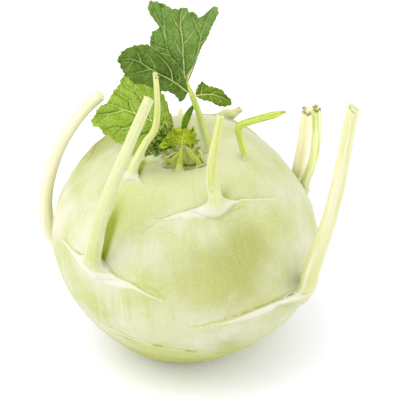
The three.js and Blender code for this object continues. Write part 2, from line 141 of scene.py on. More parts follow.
# Fine marks drawn on the skin, by kind: half width, and the places (turn, rise) they follow.
MARKS = {
    "green": [
        # The first green mark is painted shadow: the low leaf's shadow on the skin beneath it.
        (2, [(-145, 61), (-143.1, 65.4), (-139.7, 69.7), (-133.2, 73.6)]),
        (0.7, [(-112, 35), (-108.6, 38), (-104.7, 40.3), (-99, 41)]),
        (0.5, [(-69, 40), (-65, 42), (-58, 42.6), (-49, 43.2)]),
        (0.8, [(-109, 12.3), (-105.3, 11.7), (-101.4, 9.6), (-97, 6)]),
        (1, [(-90, -6), (-82, -4.6), (-74, -3.4)]),
        (0.4, [(-90, 39), (-91, 33), (-92, 26)]),
        (0.8, [(-107.9, 11.9), (-104.4, 11.8), (-101.4, 10.7), (-98.8, 8.5), (-96.7, 6.5)]),
    ],
    "faint": [
        (0.8, [(-74, 33.5), (-73.4, 29.1), (-72.2, 24.6)]),
        (1.3, [(-130.5, 4.2), (-131.2, -8.3), (-135.7, -25.4)]),
        (1.3, [(-118.9, 7.2), (-118.4, 0.6), (-118.1, -9.1)]),
        (1.3, [(-114.3, 8.5), (-113.7, 1.6), (-113.3, -9.1)]),
        (1.3, [(-106.5, 9.8), (-105.8, 3.4), (-105.2, -4.8)]),
        (1.3, [(-95.5, 6.5), (-95.1, 1.9), (-94.7, -4.4)]),
        (1.3, [(-89.6, 38.9), (-90.7, 32.8), (-91.6, 28.6)]),
        (1.3, [(-59.8, 39.9), (-61, 34.7), (-63, 29.8)]),
    ],
    "olive": [
        (1, [(-126.2, -21.6), (-123.9, -21.8), (-120.7, -21.1)]),
        (1, [(-116.2, -20.6), (-114.4, -21.5), (-112.3, -21.3)]),
        (1.3, [(-121, -20.8), (-117, -21), (-113, -21)]),
        (1.5, [(-106, -20.9), (-103, -20.9), (-100.5, -21.2)]),
        (1.5, [(-91, -23.6), (-88, -24.4), (-84, -25.4)]),
        (1.1, [(-77, -29.2), (-72, -30.6), (-66, -31.5)]),
        (0.9, [(-88.9, 85), (-83.7, 81.8), (-83.1, 78), (-83.7, 74.3)]),
        (0.7, [(-105.7, 80.6), (-96.8, 77.7), (-93.2, 74.1)]),
        (0.7, [(-70.2, 78.9), (-68.6, 75.6), (-68, 72.2)]),
        (0.7, [(-136.3, 71.8), (-126.6, 72.9), (-118.6, 74.9)]),
        (0.65, [(-88, -5.6), (-80, -4.2), (-72, -2.2), (-64, -0.8), (-58, -0.3), (-50, -0.3),
                (-44, -1)]),
    ],
    "tan": [
        (1.4, [(-80, -4.2), (-74, -2.4), (-66, -0.6), (-58, 0.4), (-50, 0.3)]),
    ],
    "brown": [
        (0.5, [(-52, -0.5), (-48, -0.7), (-44, -1.1), (-40, -1.6)]),
        (0.6, [(-126, 69.2), (-120, 69), (-112, 69.2)]),
        (0.5, [(-106, 69), (-98, 69.2), (-88, 69.2), (-80, 68.7)]),
        (0.6, [(-74, 68.8), (-66, 69), (-58, 69.6)]),
        (1.5, [(-148, 76), (-138, 76.5), (-124, 77.5)]),
        (1.5, [(-100, 75.5), (-86, 74.5), (-68, 72.6)]),
        (0.9, [(-62, 77), (-60, 73), (-66, 72)]),
        (1, [(-146, 77.1), (-140.2, 78.7), (-128, 79.1), (-115.9, 79.9)]),
    ],
    "red": [
        (0.5, [(138, 46), (147, 44.6), (155, 42.7), (164, 40), (171, 36.9), (174, 35)]),
    ],
}
# How strongly each kind is drawn, and its tone.
MARK_TONES = {
    "faint": (0.28, (188, 202, 84)), "green": (0.55, (184, 202, 70)), "tan": (0.6, (205, 198, 112)),
    "olive": (0.8, (162, 162, 60)), "brown": (1.0, (108, 72, 18)), "red": (0.75, (206, 164, 100)),
}
# A distance that stands for "nowhere near".
FAR_OFF = 9.0
# A mark fades out over this share of its length at each end, and between these distances from it.
MARK_TAPER = 0.25
MARK_REACH = (2.5, 4.5)
# How much the skin's streaks are squeezed along its height.
STREAK_SQUEEZE = 0.11
# How far red, green and blue light spreads inside the flesh, in metres.
SUBSURFACE = {"Subsurface Radius": (0.004, 0.004, 0.002), "Subsurface Scale": 1.0}

# ---- stalks -------------------------------------------------------------------------------------
# root is (turn, rise), path the free run beyond it, and radius (share of the whole length, mm).
# A foot spreads over the skin: along the scar to each side, above it and below it, up to a height,
# and rim says how pale its edges are: a painted highlight along their ridges. A cut's slant and
# brownness come with how much pith shows and how deep its dish is, which is a dome below 0. A shade
# is painted shadow: darker green skin along the stalk's right side, where the stalk's shadow falls.

Foot = namedtuple("Foot", "left right above below height rim", defaults=(1,))
Cut = namedtuple("Cut", "slant brown pith dish", defaults=(0, 0, 1, 1))
Shade = namedtuple("Shade", "width length strength")
Stalk = namedtuple("Stalk", "root finish slot path radius foot cut shade", defaults=(Cut(), None))

STALKS = {
    "stalk_front_left": Stalk((-131, 16), "soft cream", "cream_stalk",
        path=[(-30, -39, 69), (-27.8, -40.5, 80.4), (-24.2, -39.5, 91.7), (-19.1, -36, 103.4),
              (-11.7, -30, 119.5)],
        radius=[(0, 3.1), (0.16, 2.7), (0.5, 2.35), (0.75, 2.05), (1, 1.85)],
        foot=Foot(9, 10, 2.2, 6, 11), cut=Cut(0.3, 0.1, 0.3, -1), shade=Shade(2.9, 40, 1)),
    "stalk_front": Stalk((-71, 47), "cream green", "cream_stalk",
        path=[(9.9, -32.5, 84), (9, -33, 91), (9.3, -32, 99), (10.6, -30, 106), (11.6, -28, 111.5)],
        radius=[(0, 3.2), (0.2, 2.5), (0.45, 2.15), (0.65, 1.6), (1, 1.45)],
        foot=Foot(9, 9, 2.4, 6, 10), cut=Cut(0.3, 0.1), shade=Shade(5, 15, 0.55)),
    "stalk_far_right": Stalk((-34, -3), "cream", "cream_stalk",
        path=[(43.2, -32, 51.6), (45.4, -34.5, 62.5), (47.9, -36.5, 74.1), (49.7, -38, 85.1),
              (51.2, -39, 95.6), (52.3, -39.5, 105.6), (53.5, -39, 114.8), (54.7, -38, 120.9)],
        radius=[(0, 4.2), (0.16, 3.2), (0.5, 2.75), (1, 2.35)],
        foot=Foot(15, 9, 2.8, 9, 14), cut=Cut(0.9, 0.25)),
    "stalk_left": Stalk((163, -18), "white", "cream_stalk",
        path=[(-49.8, 15.6, 34), (-51.5, 15, 45.4), (-50.7, 14, 57), (-46.2, 12.5, 72.8),
              (-40.4, 11.5, 84.7), (-34.4, 10.5, 93.3), (-29.8, 10, 98.1)],
        radius=[(0, 3.2), (0.15, 2.8), (0.6, 2.5), (1, 2.35)],
        foot=Foot(9, 9, 2.4, 8, 10), cut=Cut(0.2, 0, 0, -1.4)),
    "stalk_thin_left": Stalk((-141, 58), "green", "green_stalk",
        path=[(-16.6, -15, 86.6), (-15.1, -15.8, 90.6), (-13, -16.2, 95), (-10.6, -16.8, 99.3),
              (-9.4, -17, 106), (-9.4, -17, 113.3), (-9.9, -16, 121)],
        radius=[(0, 2), (0.2, 1.6), (0.5, 1.25), (1, 0.95)],
        foot=Foot(4, 4.5, 1.4, 4, 6), cut=Cut(0.3, 0.5, 0.5), shade=Shade(1.8, 11, 1)),
    "stalk_bent": Stalk((-23, 61), "bright", "bright_stalk",
        path=[(19.6, -10, 88.6), (18.6, -10.9, 93), (18.1, -11.5, 97), (18.5, -11.7, 98.3),
              (20, -11.9, 99.3), (26, -12.2, 101.6), (33.4, -12.5, 104)],
        radius=[(0, 1.5), (0.26, 1.25), (0.4, 1.15), (0.46, 1.4), (0.56, 1.4), (0.9, 1.35),
                (0.95, 1), (1, 0.5)],
        foot=Foot(2.4, 2.2, 1, 2, 3, 0.2), cut=Cut(1, 1)),
    "stalk_right_pale": Stalk((35, 7), "pale", "cream_stalk",
        path=[(41.1, 22.6, 58.9), (42, 21.6, 68), (42.6, 21, 74), (43.4, 20, 85.9)],
        radius=[(0, 3), (0.26, 2.7), (1, 2.25)],
        foot=Foot(6, 8, 2, 6, 5), cut=Cut(0.4, 1, 0.35)),
    "stalk_right_green": Stalk((23, 11), "striped", "green_stalk",
        path=[(43.5, 17.2, 57.5), (45, 16, 63.5), (46.2, 14.5, 70.8), (46.5, 13.5, 78.1),
              (46, 12, 91.6)],
        radius=[(0, 2.2), (0.3, 2.05), (1, 1.75)],
        foot=Foot(3, 2.2, 1.2, 1.8, 5), cut=Cut(0.3, 1, 0.3)),
    "stalk_back_right": Stalk((65, 43), "cream", "cream_stalk",
        path=[(16.6, 30.6, 78), (19.5, 31.4, 79.6)],
        radius=[(0, 2.8), (0.6, 2.1), (1, 1.35)],
        foot=Foot(9, 9, 1.6, 5, 3.5), cut=Cut(0.6, 1)),
    "stalk_back_left": Stalk((94, 46), "cream", "green_stalk",
        path=[(-2.4, 33, 78.6)],
        radius=[(0, 1.5), (1, 0.9)],
        foot=Foot(3, 3, 1, 2.5, 2), cut=Cut(0.4, 0)),
    "tall_leaf_stalk": Stalk((-34, 77), "leaf", "green_stalk",
        path=[(6.5, -5.2, 91), (4.3, -5, 100), (2.1, -4.6, 106.5), (0.4, -4, 111.2)],
        radius=[(0, 1.9), (0.3, 1.4), (0.8, 1.1), (1, 0.6)],
        foot=Foot(2.5, 2.5, 1.6, 2.5, 4)),
    "low_leaf_stalk": Stalk((166, 84), "bright", "bright_stalk",
        path=[(-4, -1.5, 88.4), (-3.9, -4.3, 91.2)],
        radius=[(0, 1.5), (0.5, 1.2), (1, 0.8)],
        foot=Foot(1.6, 1.6, 1.2, 1.6, 2.5)),
    "heart_stalk_middle": Stalk((-99, 70), "heart", "green_stalk",
        path=[(-2, -14.2, 85.5), (-1.4, -14.4, 91)],
        radius=[(0, 1.6), (0.4, 1), (1, 0.75)],
        foot=Foot(2.4, 2.4, 1, 1.8, 3.2)),
    "heart_stalk_left": Stalk((-127, 73.5), "heart", "green_stalk",
        path=[(-5, -12.4, 84.8), (-3.7, -13.8, 87), (-2.1, -14.4, 89.6)],
        radius=[(0, 1.1), (0.4, 0.8), (1, 0.55)],
        foot=Foot(1.6, 1.6, 0.8, 1.4, 2)),
    "heart_stalk_right": Stalk((-70, 71), "heart", "green_stalk",
        path=[(3.9, -14, 86.2), (2.2, -14.6, 89.6), (0.2, -14.6, 91.4)],
        radius=[(0, 1.2), (0.4, 0.78), (1, 0.5)],
        foot=Foot(1.6, 1.6, 0.8, 1.4, 2)),
}
# The tones low on a stalk, high on it and of its stripes, and how strong the stripes are. Tones
# above 255 are partly painted light: they make stalks that stand in the bulb's shade lighter than
# their own cream.
STALK_TONES = {
    "cream": ((226, 229, 154), (242, 240, 198), (220, 225, 136), 0.6),
    "pale": ((286, 284, 230), (284, 274, 242), (268, 264, 208), 0.4),
    "soft cream": ((212, 219, 138), (226, 229, 176), (216, 222, 140), 0.5),
    "white": ((256, 254, 206), (258, 252, 216), (244, 244, 188), 0.4),
    "cream green": ((226, 230, 158), (208, 216, 112), (242, 244, 196), 0.5),
    "green": ((230, 235, 158), (218, 226, 130), (246, 248, 200), 0.5),
    "heart": ((214, 222, 122), (182, 200, 52), (200, 214, 96), 0.5),
    "leaf": ((212, 221, 118), (190, 206, 76), (226, 234, 150), 0.6),
    "bright": ((210, 221, 100), (186, 206, 52), (230, 236, 134), 0.6),
    "striped": ((264, 266, 206), (262, 264, 200), (190, 212, 84), 0.65),
}
# The way towards the light whose shadows of the stalks are painted on the skin.
PAINTED_SHADOW_LIGHT = (-0.06, -0.84, 0.54)
# How far a stalk's line starts inside the skin, and how far it leads straight out of it.
BURIED = 4.0
LIFTED = 1.0
# How far the edge of a foot lies under the skin.
FOOT_SUNK = 0.25
FOOT_ROWS = 16
STALK_SIDES = 48
STALK_STEP = 0.8
RIBS = 9
RIB_DEPTH = 0.02
RING_UNEVENNESS = 0.16
LUMP_HEIGHT = 0.4
LUMPS_IN_A_METRE = 160.0
# How tightly a foot hugs its stalk beside, above and below it: it spreads more where this is less.
HUG_BESIDE, HUG_ABOVE, HUG_BELOW = 6.4, 7.6, 2.2
FOOT_EDGE_WIDTH = 0.035
# How far from the tip a cut's brown reaches, and between which lengths the painted highlight on the
# foot's pale edges fades.
BROWN_REACH = 2.2
EDGE_HIGHLIGHT_FADE = (2, 16)
# The rings of a cut face within its rim: their size and how far they stand out.
CAP_RINGS = [(0.93, 0.1), (0.84, 0.05), (0.7, -0.2), (0.45, -0.4), (0.2, -0.45)]
CAP_MIDDLE = 0.45

# ---- blades -------------------------------------------------------------------------------------
# A blade lies in an upright sheet that faces the front, turned by yaw and leaning back by lean
# degrees. Its places are (across, up) in that sheet. fan says how the mesh's rows leave the midrib:
# 1 evenly, more means crowded at its base. bend is how far the tip stands out of the sheet, wave and
# waves are the height and number of the margin's waves, and teeth is how far its teeth are apart.

BLADES = {
    "tall_leaf_blade": {
        "base": (0.5, -4, 110.2), "yaw": 0, "lean": 17, "fan": 1.6,
        "finish": "leaf", "slot": "leaf",
        "midrib": [(0, 0), (-0.8, 3.6), (-1.2, 9.3), (-1.5, 14.9), (-2.2, 21.9), (-1.4, 26.2)],
        "left": [(-0.4, 0.7), (-3, 2.4), (-6.4, 4.5), (-9.2, 6.2), (-11.2, 8.3), (-12, 10.7),
                 (-12.5, 13.8), (-12.3, 16.6), (-11.5, 18.3), (-9.3, 19.5), (-10.6, 21.6),
                 (-12.6, 24.1), (-13.2, 25.4), (-12.6, 28.2), (-9, 27.6), (-7.1, 27), (-5.2, 25.7),
                 (-3, 25.8)],
        "right": [(0.5, 0.7), (1.6, 3.1), (2.3, 5.5), (3.8, 9.3), (4.6, 11.8), (5.8, 14.5),
                  (7.1, 16.4), (8.3, 19.4), (9.6, 21.9), (10.2, 23.2), (10.8, 25), (9.8, 26.8),
                  (7.5, 25.2), (5.5, 23.4), (4.1, 23.1), (2.6, 24.8), (1, 24.9), (0.1, 26)],
        "veins": [
            [(-0.8, 3.1), (-3, 6.2), (-6.5, 11.4), (-7.2, 15.6), (-8.7, 19.8), (-11.4, 25.1),
             (-12.2, 27.2)],
            [(-7.2, 15.6), (-7.7, 19.7), (-7.8, 23.7), (-8.5, 26.6)],
            [(0, 2.6), (2.8, 7.9), (4.9, 16.7), (6.4, 21.3), (8.2, 24.8)],
            [(4.8, 16.6), (3.4, 19.7), (2.4, 22.1), (2.1, 24)],
        ],
        "veinlets": [
            [(-1, 4.8), (-4.4, 5.5), (-9.1, 8), (-11.2, 9.7)],
            [(-6.7, 11.8), (-9.8, 13.1), (-12, 14.5)],
            [(-1.3, 13.5), (1.1, 16.6), (2.8, 19.3)],
            [(4.1, 13.5), (6.5, 15.9)],
            [(-2, 18), (-4, 21.4), (-5.3, 24.5)],
            [(-2.1, 20.7), (-0.6, 23.8), (0.1, 25.3)],
            [(-1.2, 9), (-3.6, 14), (-4.4, 18)],
            [(5.6, 19.2), (7.6, 21.5)],
            [(-8.4, 19), (-6.2, 22.5)],
        ],
        "bend": -1.5, "wave": 1, "waves": 7, "teeth": 2.1,
    },
    "tall_leaf_left_lobe": {
        "base": (0.8, -4.5, 107.3), "yaw": 12, "lean": 0, "fan": 1.2,
        "finish": "dark leaf", "slot": "leaf",
        "midrib": [(0, 0), (-5.6, 5.5), (-10.8, 9.3), (-14.7, 12.7), (-16.4, 14.3), (-21.2, 16.6),
                   (-24.6, 16.8)],
        "left": [(-0.8, -0.7), (-1.4, -2.6), (-2.8, -3.4), (-3.6, -1.9), (-4.8, -0.4), (-6.9, 1.2),
                 (-9.7, 1.9), (-12.4, 3.4), (-15.8, 5.4), (-18.2, 5.7), (-19.6, 7), (-20.6, 8.7),
                 (-21.9, 10), (-22.6, 12), (-23.5, 13.6), (-23.7, 15.2)],
        "right": [(-0.2, 1.2), (-0.6, 4), (-1.7, 7.6), (-3.4, 11.7), (-5.4, 14.2), (-6.8, 15.9),
                  (-9.5, 17), (-11.2, 18.8), (-12.9, 20.2), (-15.2, 21.4), (-16.9, 21.5),
                  (-18.8, 21.7), (-20.8, 21.1), (-22.8, 20.3), (-24.1, 18.6)],
        "veins": [
            [(-5.5, 5.9), (-5.9, 9.1), (-7.5, 12.5), (-9.2, 14.7), (-11.5, 17.6)],
            [(-16.4, 14.7), (-17, 17.1), (-17.6, 19.4)],
            [(-13, 11.2), (-17.1, 10.8), (-21, 10.5)],
        ],
        "veinlets": [
            [(-4.8, 4.6), (-7.2, 3.8), (-9.5, 3.4)],
            [(-11, 9.7), (-12.3, 13.9), (-13.9, 17.1), (-15, 19.6)],
            [(-19.4, 15.8), (-20.7, 17.9), (-21.5, 18.6)],
            [(-9, 8), (-12.6, 6.8), (-15.6, 6.4)],
            [(-3.4, 3.4), (-2.9, 6.4), (-3.8, 9.4)],
            [(-18.8, 15.5), (-20.8, 13.6), (-22.4, 13.2)],
        ],
        "bend": 2.6, "wave": 0.8, "waves": 6, "teeth": 2.4,
    },
    "tall_leaf_right_lobe": {
        "base": (3.1, -4.5, 107.3), "yaw": 0, "lean": 10, "fan": 1.1,
        "finish": "fresh leaf", "slot": "leaf",
        "midrib": [(0.3, -1.1), (2.9, -0.8), (5.9, -0.8), (8.9, -1.8), (12.6, -3.8)],
        "left": [(0.3, -0.3), (0.6, 1.2), (1.4, 2.8), (2.6, 3.8), (3.4, 3.4), (3.9, 2.6),
                 (6.1, 1.9), (7.6, 1.5), (9.3, 0.8), (10.7, -0.7), (11.6, -1.6), (12.4, -2.8)],
        "right": [(0.6, -1.5), (1.4, -2.1), (3, -2.9), (5.4, -3.4), (7.2, -4.5), (8.4, -5.1),
                  (9.9, -5.3), (11.6, -5), (12.5, -4.5)],
        "veins": [
            [(2.2, -0.8), (2.5, 1.5), (2.8, 3.2)],
            [(5.6, -0.8), (7.3, 0.4), (8.8, 0.3)],
        ],
        "veinlets": [
            [(4.9, -0.8), (5.6, -2.2), (7, -3.6)],
            [(7.7, -1.3), (8.7, -2.9), (10.1, -4.5)],
            [(9, -1.8), (10.4, -1.4)],
        ],
        "bend": -0.8, "wave": 0.7, "waves": 4, "teeth": 2,
    },
    "low_leaf_blade": {
        "base": (-4, -5.4, 91.8), "yaw": -14, "lean": 22, "fan": 1.3,
        "finish": "low leaf", "slot": "low_leaf",
        "midrib": [(0, -0.3), (-3.5, 1.1), (-8.1, 3), (-14.4, 4.9), (-18.5, 5.7), (-24.9, 7)],
        "left": [(-0.5, -1.3), (-2.9, -3.8), (-6.3, -5.6), (-9.5, -6.7), (-11.9, -7.8),
                 (-14.6, -9.3), (-16.2, -8.3), (-18.1, -6.9), (-19.9, -6.7), (-22.2, -5.9),
                 (-23, -4.6), (-25.2, -4.1), (-26.9, -1.9), (-29.4, -1.5), (-30.1, 0.4),
                 (-28.7, 2.5), (-28.1, 4.7), (-26.6, 6.2)],
        "right": [(0.2, 0.5), (0.3, 1.9), (-0.4, 3.9), (-1.7, 6.2), (-2.5, 7.5), (-3.5, 10),
                  (-4.6, 12), (-5.9, 13.7), (-8.2, 15.9), (-11.3, 18.3), (-14.7, 19.8),
                  (-17.5, 19.5), (-19.5, 18), (-20.5, 16.5), (-21.2, 14.4), (-22.3, 12.8),
                  (-23.3, 11.3), (-23.8, 9.8), (-24.4, 8.7)],
        "veins": [
            [(-14.5, 5.1), (-16.1, 7.2), (-17, 9.1), (-19.9, 10.3), (-22.7, 11.4)],
            [(-8.2, 3), (-10.7, 7.2), (-12.4, 9.8), (-14.7, 12.4), (-18.5, 13.7), (-20.4, 15.6)],
            [(-18.5, 5.7), (-20.5, 4.6), (-23.2, 3.6), (-28.2, 2.6)],
            [(-12.6, 4.2), (-15.5, 0.1), (-18.6, -1), (-21.6, -1.2), (-25, -2.7)],
            [(-4.4, 1), (-6.6, -0.7), (-11.3, -2.7), (-13.2, -5.4), (-14.9, -7.9)],
        ],
        "veinlets": [
            [(-19.9, 10.3), (-20.5, 12.3), (-21, 13.8)],
            [(-7.3, 3.1), (-8.4, 5), (-9.9, 10.8), (-12.6, 16.1)],
            [(-1.6, 0.6), (-3.2, 3.9), (-4.7, 6.7), (-5.4, 10.6)],
            [(-10.4, -1.9), (-12.8, -2.3), (-17.6, -5.6)],
            [(-12.4, 9.8), (-15.2, 9.5), (-17, 9.2)],
            [(-14.7, 12.4), (-15.7, 15.7), (-17.1, 18.6)],
            [(-18.6, -1), (-20.4, -3.6), (-21.4, -5.4)],
            [(-23.2, 3.6), (-25.4, 1.4), (-28.2, -0.4)],
            [(-21.4, 6.2), (-23.4, 8)],
        ],
        "bend": -1.6, "wave": 1.1, "waves": 8, "teeth": 2.2,
    },
    "heart_leaf_light": {
        "base": (-1.3, -14.4, 92), "yaw": 0, "lean": -10, "fan": 1.8,
        "finish": "heart leaf", "slot": "heart_leaf",
        "midrib": [(0, 0.2), (0.3, 3.9), (0.7, 6.6), (1, 9.1)],
        "left": [(-0.4, 0.6), (-2.4, 1.6), (-4.5, 1), (-6.2, 0.7), (-7.5, 1.6), (-6, 3.5),
                 (-5.2, 5.2), (-4.9, 6.6), (-3.8, 8), (-2.5, 8.4), (-1.3, 9.4), (-0.3, 9.6)],
        "right": [(0.3, 0.5), (2, 1.4), (3.4, 1.8), (4.5, 3.1), (4.9, 4.8), (5.2, 5.8), (4.6, 7),
                  (4.2, 8.4), (3.2, 9.2), (2.2, 9)],
        "veins": [
            [(0.1, 1.6), (-2.1, 3.7), (-5.1, 4.4)],
            [(0.3, 3.6), (-1.7, 6.2), (-3.4, 7.1)],
            [(0.1, 2.2), (2.4, 3.7), (4.4, 4.8)],
            [(0.5, 5), (2.4, 6.6), (3.7, 8)],
        ],
        "veinlets": [
            [(0, 1), (-2.6, 2.2), (-5.8, 2)],
            [(0.1, 1.2), (2, 2.2), (3.6, 2.4)],
        ],
        "bend": 1.6, "wave": 0.9, "waves": 8, "teeth": 1.1, "frill": 0.55,
    },
    "heart_leaf_dark": {
        "base": (-4.3, -11.6, 90.4), "yaw": 0, "lean": -5, "fan": 1.3,
        "finish": "curly leaf", "slot": "curly_leaf",
        "midrib": [(0, -0.2), (-2.8, 0.5), (-5.9, -0.8), (-10, -3.4)],
        "left": [(-0.4, -0.8), (-1.7, -1), (-3.1, -1.6), (-4.2, -2.5), (-4.9, -3.8), (-5.9, -4.6),
                 (-6.9, -4.2), (-8, -4.4), (-9.2, -4.2)],
        "right": [(0.6, 0.9), (0.6, 3.8), (0.4, 6.8), (-0.6, 8.6), (-2.2, 9), (-3.6, 8.2),
                  (-4.9, 7.2), (-5.9, 5.8), (-6.7, 4.6), (-7.7, 3.4), (-8.3, 2.2), (-8.7, 0.6),
                  (-9.6, -0.6), (-10.2, -2.2)],
        "veins": [
            [(-1.7, 0.1), (-2.7, 3.9), (-3.2, 7.4)],
            [(-4.5, -0.2), (-5.9, 2), (-7.4, 3)],
            [(-3.5, 0.2), (-4.5, -2), (-5.6, -4)],
        ],
        "veinlets": [
            [(-0.6, 0.2), (-0.9, 3.2), (-1.2, 5.8)],
            [(-6.4, -1), (-7.4, -2.4)],
        ],
        "bend": -0.8, "wave": 0.7, "waves": 9, "teeth": 0.8, "frill": 1,
    },
}

# The outline of the small leaflets among the heart's stalks, for one 1 mm long, and where they grow:
# base, yaw, lean, size.
LEAFLET = {
    "fan": 1.2, "midrib": [(0, 0), (0.06, 0.5), (-0.03, 1)],
    "left": [(-0.05, 0.02), (-0.22, 0.16), (-0.4, 0.38), (-0.36, 0.62), (-0.2, 0.86)],
    "right": [(0.05, 0.02), (0.26, 0.14), (0.38, 0.4), (0.34, 0.68), (0.16, 0.88)],
    "veins": [[(0.02, 0.25), (-0.25, 0.5)], [(0.03, 0.35), (0.24, 0.62)]],
    "veinlets": [[(0.05, 0.6), (-0.18, 0.78)]],
}
LEAFLETS = [
    ((3.6, -13.4, 88), 60, -10, 3.4), ((-3.2, -13.2, 88.4), -70, -10, 3.4),
    ((1.6, -10.6, 88.6), 20, 25, 4.4), ((3, -14.2, 92.6), 50, -30, 3),
    ((-6.3, -13.2, 88), -60, -25, 2.8), ((-8.1, -13, 88.4), -20, -45, 2.6),
    ((-8.7, -13.2, 90.4), -50, -20, 2.6), ((-8.9, -12.6, 93.4), -30, -25, 2.6),
    ((-6.8, -12.4, 95.6), -10, -10, 2.6), ((-10.3, -13.2, 88.2), -75, -20, 2.6),
    ((-11.6, -13.6, 88.4), -30, -30, 2.4), ((-12.6, -13.2, 87.4), -95, -20, 2.4),
    ((-11.9, -12.5, 90.2), -60, 0, 2.4), ((-10.7, -12.5, 92.2), -40, -10, 2.4),
    ((-9.6, -13.4, 87.2), -110, -30, 2.4), ((-5.4, -12.2, 97.4), -20, 0, 2.4),
]

# A leaf's dark, light, vein and underside tones. Then come where its paler margin starts and how
# strong it is, and the place and spread of the painted shade in its fold, where it has either.
FRINGE = (0.965, 0.6)
LEAF_TONES = {
    "leaf": ((102, 142, 50), (132, 168, 80), (222, 230, 150), (150, 175, 110)),
    "fresh leaf": ((98, 134, 10), (126, 160, 28), (218, 228, 134), (150, 175, 90)),
    "dark leaf": ((80, 118, 28), (116, 152, 54), (212, 222, 138), (140, 168, 100), FRINGE,
                  ((-6.2, -4, 116), 8)),
    "low leaf": ((142, 178, 46), (170, 200, 70), (228, 234, 146), (170, 190, 120)),
    "heart leaf": ((134, 168, 4), (204, 220, 40), (222, 232, 110), (120, 150, 50)),
    "curly leaf": ((84, 132, 4), (156, 194, 24), (222, 238, 124), (110, 148, 60), (0.72, 0.9)),
}

# Thin young stalks in the heart: (turn, rise) of the root, then the free path.
SPRIGS = [
    ((-72, 75), [(2.3, -13.3, 86.6), (0.4, -13.5, 89.8)]),
    ((-93, 77), [(-0.6, -11.8, 85.4), (-0.8, -12.8, 88.6)]),
    ((-58, 73), [(5.6, -12.8, 86.2), (5.2, -13.4, 88.6), (2.6, -14, 91)]),
    ((-145, 77), [(-6.6, -10.4, 84.8), (-5.2, -12.4, 87), (-3, -13.4, 89.2)]),
]
# Their radius at the root and the tip, and how their mesh is laid out.
SPRIG_RADII = (0.588, 0.336)
SPRIG_POINTS = 24
SPRIG_SIDES = 16
SPRIG_RIBS = 4
SPRIG_SEED = 2.0

# The rolled leaf: its middle line, and the radius of its roll as (share, mm).
ROLL_PATH = [(-0.9, -3.2, 88.6), (-0.7, -4.6, 92), (-0.4, -5, 95), (0.8, -4, 98.2), (2.7, -2, 100.6)]
ROLL_RADIUS = [(0, 0.8), (0.3, 0.95), (0.62, 1.35), (0.85, 1.0), (1, 0.3)]
ROLL_TURNS = 1.25
ROLL_ROWS, ROLL_COLUMNS = 60, 70
MIDRIB_POINTS = 200
BLADE_SPACING = 0.3
BLADE_THICKNESS = 0.4
# Half widths of the veins at their start and end.
MIDRIB_WIDTHS = (0.3105, 0.1)
VEIN_WIDTHS = (0.2025, 0.08)
VEINLET_WIDTHS = (0.14, 0.03)
# How uneven the teeth are in length, as shares, their least depth and how much more it may be, and
# where a tooth is highest, as a share of its length.
TOOTH_LENGTHS = (0.7, 1.35)
TOOTH_DEPTH, TOOTH_DEPTH_RANGE = 0.2, 0.5
TOOTH_PEAK = 0.7


# ---- arithmetic on places -----------------------------------------------------------------------


def turn_between(first, second):
    """How many degrees lead from one turn to another, the shorter way round."""
    return (second - first + 180.0) % 360.0 - 180.0


def eased(value, low, high):
    """0 below low and 1 above high, with a smooth rise between them."""
    share = np.clip((value - low) / (high - low), 0.0, 1.0)
    return share * share * (3 - 2 * share)


def blend(first, second, places, start, end):
    """The values at places on the straight run from first at start to second at end."""
    return first + (second - first) * (places - start) / (end - start)


def unit(vectors):
    return vectors / np.maximum(np.linalg.norm(vectors, axis=-1, keepdims=True), 1e-9)


def steps_of(line):
    return np.linalg.norm(np.diff(line, axis=0), axis=1)


def length_of(line):
    return float(steps_of(line).sum())


def run_along(steps):
    """How far along a line each of its points is, from the steps between them."""
    return np.concatenate([[0], np.cumsum(steps)])


def lumps(points, size, seed):
    """Smooth noise of about -1 to 1 at each point, whose lumps are size mm across."""
    shift = Vector((seed * 11.3, seed * 5.7, seed * 3.1))
    return np.array([noise.noise(Vector(point) / size + shift) for point in points.tolist()])


def smooth_line(points, count):
    """count places, evenly spaced, on the centripetal curve through the points."""
    points = np.asarray(points, dtype=float)
    ends = np.vstack([2 * points[0] - points[1], points, 2 * points[-1] - points[-2]])
    knots = run_along(steps_of(ends) ** 0.5)
    pieces = []
    for i in range(1, len(ends) - 2):
        places = np.linspace(knots[i], knots[i + 1], CURVE_STEPS, endpoint=False)[:, None]
        straight = [blend(ends[k], ends[k + 1], places, knots[k], knots[k + 1])
                    for k in (i - 1, i, i + 1)]
        bent = [blend(straight[k], straight[k + 1], places, knots[i + k - 1], knots[i + k + 1])
                for k in (0, 1)]
        pieces.append(blend(*bent, places, knots[i], knots[i + 1]))
    dense = np.vstack(pieces + [points[-1:]])
    run = run_along(steps_of(dense))
    wanted = np.linspace(0, run[-1], count)
    return np.column_stack([np.interp(wanted, run, dense[:, axis]) for axis in range(dense.shape[1])])


# ---- the skin's form ----------------------------------------------------------------------------


def scar_place(scar, turn, rise):
    """How far along half of a scar each place is, as a share, and how many mm above its line."""
    place = turn_between(scar.middle[0], turn)
    start = turn_between(scar.middle[0], scar.start[0])
    end = turn_between(scar.middle[0], scar.end[0])
    start_share = place * (place - end) / (start * (start - end))
    end_share = place * (place - start) / (end * (end - start))
    middle_share = 1 - start_share - end_share
    line = scar.start[1] * start_share + scar.middle[1] * middle_share + scar.end[1] * end_share
    along = np.where(place < 0, place / start, place / end)
    wander = sum(height * np.sin(place * pace + phase)
                 for (height, pace), phase in zip(LINE_WAVES, (end, start)))
    return along, np.radians(rise - line) * BULB_RADIUS + wander * eased(along, 0.1, 0.5)


def scar_relief(scar, turn, rise):
    """A clasping leaf base: a ledge with a fine raised lip, which runs out slowly below its line."""
    along, above = scar_place(scar, turn, rise)
    fade = np.clip(1 - along * along, 0, 1)
    width = np.where(above > 0, EDGE_WIDTH, EDGE_WIDTH + APRON * fade)
    ledge = scar.height * fade * np.exp(-((above / width) ** 2))
    lip = min(LIP_HEIGHT, 0.5 * scar.height) * fade ** 0.7
    return ledge + lip * np.exp(-(((above + LIP_WIDTH) / LIP_WIDTH) ** 2))


